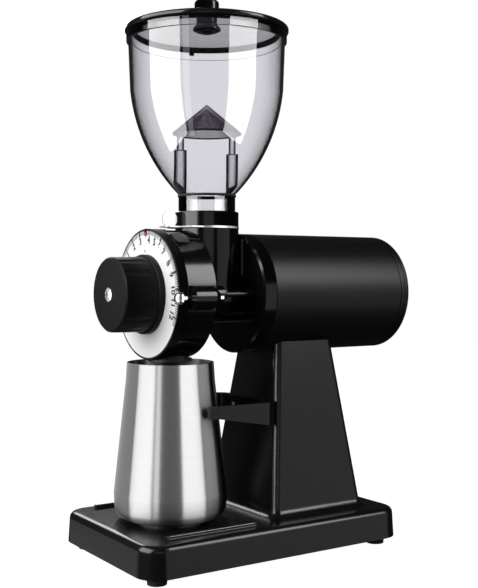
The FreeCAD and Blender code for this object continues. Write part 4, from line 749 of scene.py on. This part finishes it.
# Coverage rises where the cone is seen edge on, so its edges go dark: partly the longer way through the
# wall, partly a painted dark edge.
tilt = deep_smoked.node_tree.nodes.new("ShaderNodeLayerWeight")
tilt.inputs["Blend"].default_value = 0.5
cover = deep_smoked.node_tree.nodes.new("ShaderNodeMapRange")
cover.inputs["From Min"].default_value = 0.3
cover.inputs["From Max"].default_value = 0.9
cover.inputs["To Min"].default_value = 0.40
cover.inputs["To Max"].default_value = 1.0
deep_smoked.node_tree.links.new(tilt.outputs["Facing"], cover.inputs["Value"])
deep_smoked.node_tree.links.new(cover.outputs["Result"],
                                deep_smoked.node_tree.nodes["Principled BSDF"].inputs["Alpha"])

# Sockets and posts: darkened to black soonest of all where seen edge on, painted dark outlines.
peg_smoked = finish("smoked_peg_plastic", colours=((0.70, 0.685, 0.72), (0.78, 0.765, 0.80)),
                    rough=(0.0, 0.02), patch=8.0, grain=300.0, relief=0.0, Transmission_Weight=1.0,
                    IOR=1.585)
deepen_edges(peg_smoked, ((0.0, 1.0), (0.05, 0.85), (0.15, 0.12), (0.3, 0.0), (1.0, 0.0)))

# A near-black opaque finish put on clear plastic edges: a painted dark edge in place of shade.
painted_dark_edge = finish("painted_dark_plastic_edge", colours=((0.010, 0.008, 0.011), (0.016, 0.013, 0.018)),
                     rough=(0.08, 0.16), patch=20.0, grain=600.0, relief=0.0)

hopper_low, hopper_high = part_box("hopper")
hopper_tall = hopper_high.z - hopper_low.z
hopper_axis = Vector(((hopper_low.x + hopper_high.x) / 2, (hopper_low.y + hopper_high.y) / 2, hopper_low.z))
hopper_wall = 0.0025
bowl_rounding = 0.0004
spigot_radius = 0.0239
spigot_tall = 0.024
band_tall = 0.0071
bell_middle = (0.0471, spigot_tall + 0.0316)
bell_shoulder = (0.0642, spigot_tall + 0.0869)
rim_radius = 0.0657


def bell_line(inset):
    """The bowl's turned line from the foot of its spigot to its rim, moved in by the wall for the inside."""
    bell = arc_through((spigot_radius, spigot_tall), bell_middle, bell_shoulder, count=40)
    line = [(spigot_radius, 0.0)] + bell + [(rim_radius, hopper_tall)]
    return [(radius - inset, height) for radius, height in line]


outside = bell_line(0.0)
band_radius = (hopper_high.x - hopper_low.x) / 2
outside[-1:] = [(rim_radius, hopper_tall - band_tall), (band_radius, hopper_tall - band_tall),
                (band_radius, hopper_tall)]
bowl = turned(outside + bell_line(hopper_wall)[::-1] + outside[:1], hopper_axis, (0.0, 0.0, 1.0), steps=160)
round_edges(bowl, bowl_rounding)
fit(bowl, "hopper_bowl", "hopper_body", "smoked_clear", smoked, "hopper")
bowl.data.materials.append(neck_band_shaded_smoked)
bowl.data.materials.append(painted_dark_edge)
# The ledge under the band takes the painted dark edge; the spigot and band take the finish with stronger
# painted dark edges.
for face in bowl.data.polygons:
    height = face.center.z - hopper_low.z
    if face.normal.z < -0.5 and abs(height - hopper_tall + band_tall) < 0.001:
        face.material_index = 2
    elif not spigot_tall < height < hopper_tall - band_tall:
        face.material_index = 1
under_strip_lights(bowl, clear_pieces)

seal_tall = 0.0022
seal_thick = 0.0009
seal_gap = 0.00005
seal_line = arc_through((spigot_radius + seal_gap, spigot_tall - seal_tall),
                        (spigot_radius + seal_thick, spigot_tall - seal_tall / 2),
                        (spigot_radius + seal_gap, spigot_tall), count=8)
seal = turned(seal_line + seal_line[:1], hopper_axis, (0.0, 0.0, 1.0), steps=96)
fit(seal, "neck_seal", "hopper_body", "black_rubber", black_rubber)

socket_radius = 0.0052
socket_from_axis = 0.0256
socket_top = 0.060
socket_gap = 0.00005
small_rounding = 0.0003
for name, side in (("front_socket", -1.0), ("rear_socket", 1.0)):
    place = hopper_axis + Vector((0.0, side * socket_from_axis, 0.0))
    peg = [(0.0, spigot_tall), (socket_radius, spigot_tall), (socket_radius, socket_top), (0.0, socket_top)]
    socket = turned(peg, place, (0.0, 0.0, 1.0), steps=48)
    inside = bell_line(hopper_wall + socket_gap)
    hollow = turned([(0.0, 0.0)] + inside + [(0.0, hopper_tall)], hopper_axis, (0.0, 0.0, 1.0), steps=160)
    combine(socket, hollow, "INTERSECT")
    round_edges(socket, small_rounding)
    fit(socket, name, "hopper_body", "smoked_clear", peg_smoked, "hopper")
    under_strip_lights(socket, clear_pieces)

cone_low, cone_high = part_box("bean_cone")
cone_radius = (cone_high.x - cone_low.x) / 2
cone_rise = 0.0748
cone_rim = 0.0012
cone_wall = 0.002
cone_tall = cone_high.z - hopper_low.z - cone_rise - cone_rim
cone_inner = (cone_tall - cone_wall * math.hypot(1.0, cone_tall / cone_radius)) / cone_tall
near_tip = 0.98
inner_tip = ((1.0 - near_tip) * cone_inner * cone_radius, near_tip * cone_inner * cone_tall)
outer_tip = ((1.0 - near_tip) * cone_radius, cone_rim + near_tip * cone_tall)
inner_line = [(0.0, cone_inner * cone_tall), inner_tip, (cone_inner * cone_radius, 0.0)]
outer_line = [(cone_radius, 0.0), (cone_radius, cone_rim), outer_tip]
cone = turned(inner_line + outer_line + [(0.0, cone_rim + cone_tall)],
              hopper_axis + Vector((0.0, 0.0, cone_rise)), (0.0, 0.0, 1.0), steps=128)
round_edges(cone, small_rounding)
fit(cone, "bean_cone_shell", "hopper_body", "smoked_clear", deep_smoked, "bean_cone")
cone.data.materials.append(painted_dark_edge)
# The cone's rim takes the painted dark edge.
for face in cone.data.polygons:
    face.material_index = int(face.center.z < hopper_low.z + cone_rise + cone_rim)
under_strip_lights(cone, clear_pieces)
post_radius = 0.003
for name, side in (("front_post", -1.0), ("rear_post", 1.0)):
    place = hopper_axis + Vector((0.0, side * socket_from_axis, 0.0))
    foot = socket_top + socket_gap
    post = turned([(0.0, foot), (post_radius, foot), (post_radius, cone_rise), (0.0, cone_rise)], place,
                  (0.0, 0.0, 1.0), steps=40)
    round_edges(post, small_rounding)
    fit(post, name, "hopper_body", "smoked_clear", peg_smoked, "bean_cone")
    under_strip_lights(post, clear_pieces)

glossy_moulding = finish("glossy_black_moulding", colours=((0.006, 0.006, 0.007), (0.010, 0.010, 0.011)),
                         rough=(0.07, 0.14), patch=30.0, grain=700.0, relief=0.000004)
dress(smoked, "lid_disc")
dress(glossy_moulding, "lid_ring", "lid_knob")
keep_off(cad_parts["lid_knob"], painted_pieces)
dress(black_oxide, "lid_screw")
under_strip_lights(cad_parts["lid_disc"], clear_pieces)
under_strip_lights(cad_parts["lid_screw"], clear_pieces)

tab_turn = math.radians(161.2)
tab_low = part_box("lid_ring")[0].z
tab_wide, tab_tall, tab_from, tab_to = 0.0046, 0.0026, 0.0609, 0.0627
tab = billet((tab_from, -tab_wide / 2, tab_low - tab_tall), (tab_to, tab_wide / 2, tab_low))
round_edges(tab, small_rounding)
tab.rotation_euler.z = tab_turn
tab.location = (hopper_axis.x, hopper_axis.y, 0.0)
fit(tab, "lid_tab", "lid_body", "black_moulding", glossy_moulding)

# Cup: spun from steel sheet on a lathe, with a plain thin rim and a low foot ring pressed into its bottom,
# and brushed round its outside while turning.
brushed_steel = finish("brushed_steel", colours=((0.25, 0.25, 0.25), (0.31, 0.31, 0.308)),
                       rough=(0.28, 0.34), patch=20.0, grain=6.0, relief=0.000006,
                       stretch=(1.0, 1.0, 160.0), Metallic=1.0, Anisotropic=1.0,
                       Anisotropic_Rotation=0.25)
round_the_cup = brushed_steel.node_tree.nodes.new("ShaderNodeTangent")
round_the_cup.direction_type = "RADIAL"
round_the_cup.axis = "Z"
brushed_steel.node_tree.links.new(round_the_cup.outputs["Tangent"],
                                  brushed_steel.node_tree.nodes["Principled BSDF"].inputs["Tangent"])
cup_low, cup_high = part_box("cup")
cup_axis = Vector(((cup_low.x + cup_high.x) / 2, (cup_low.y + cup_high.y) / 2, cup_low.z))
cup_tall = cup_high.z - cup_low.z
cup_wall = 0.0012
cup_rounding = 0.0004
foot_ring = 0.0300
foot_rise = 0.0026
cup_bottom = 0.0405
cup_corner = (0.0442, 0.0055)
cup_knee = (0.0460, 0.0098)
cup_belly = (0.0466, 0.0160)
cup_widest = (0.04675, 0.02255)
cup_neck = (0.0368, cup_tall - 0.015)
cup_rim = (0.0358, cup_tall)


def cup_line(inset):
    """The cup's line from the edge of its bottom to its rim, moved in by the wall for the inside."""
    corner = arc_through((cup_bottom, foot_rise + inset), cup_corner, cup_knee, count=14)
    line = corner + arc_through(cup_knee, cup_belly, cup_widest, count=10)[1:] + [cup_neck, cup_rim]
    return [(radius - inset, height) for radius, height in line]


ring_inside = foot_ring - cup_wall
cup_foot = [(0.0, foot_rise), (ring_inside, foot_rise), (ring_inside, 0.0), (foot_ring, 0.0),
            (foot_ring, foot_rise)]
cup = turned(cup_foot + cup_line(0.0) + cup_line(cup_wall)[::-1] + [(0.0, foot_rise + cup_wall)], cup_axis,
             (0.0, 0.0, 1.0), steps=160)
round_edges(cup, cup_rounding)
fit(cup, "spun_cup", "cup_body", "steel", brushed_steel, "cup")
under_strip_lights(cup, steel_pieces)
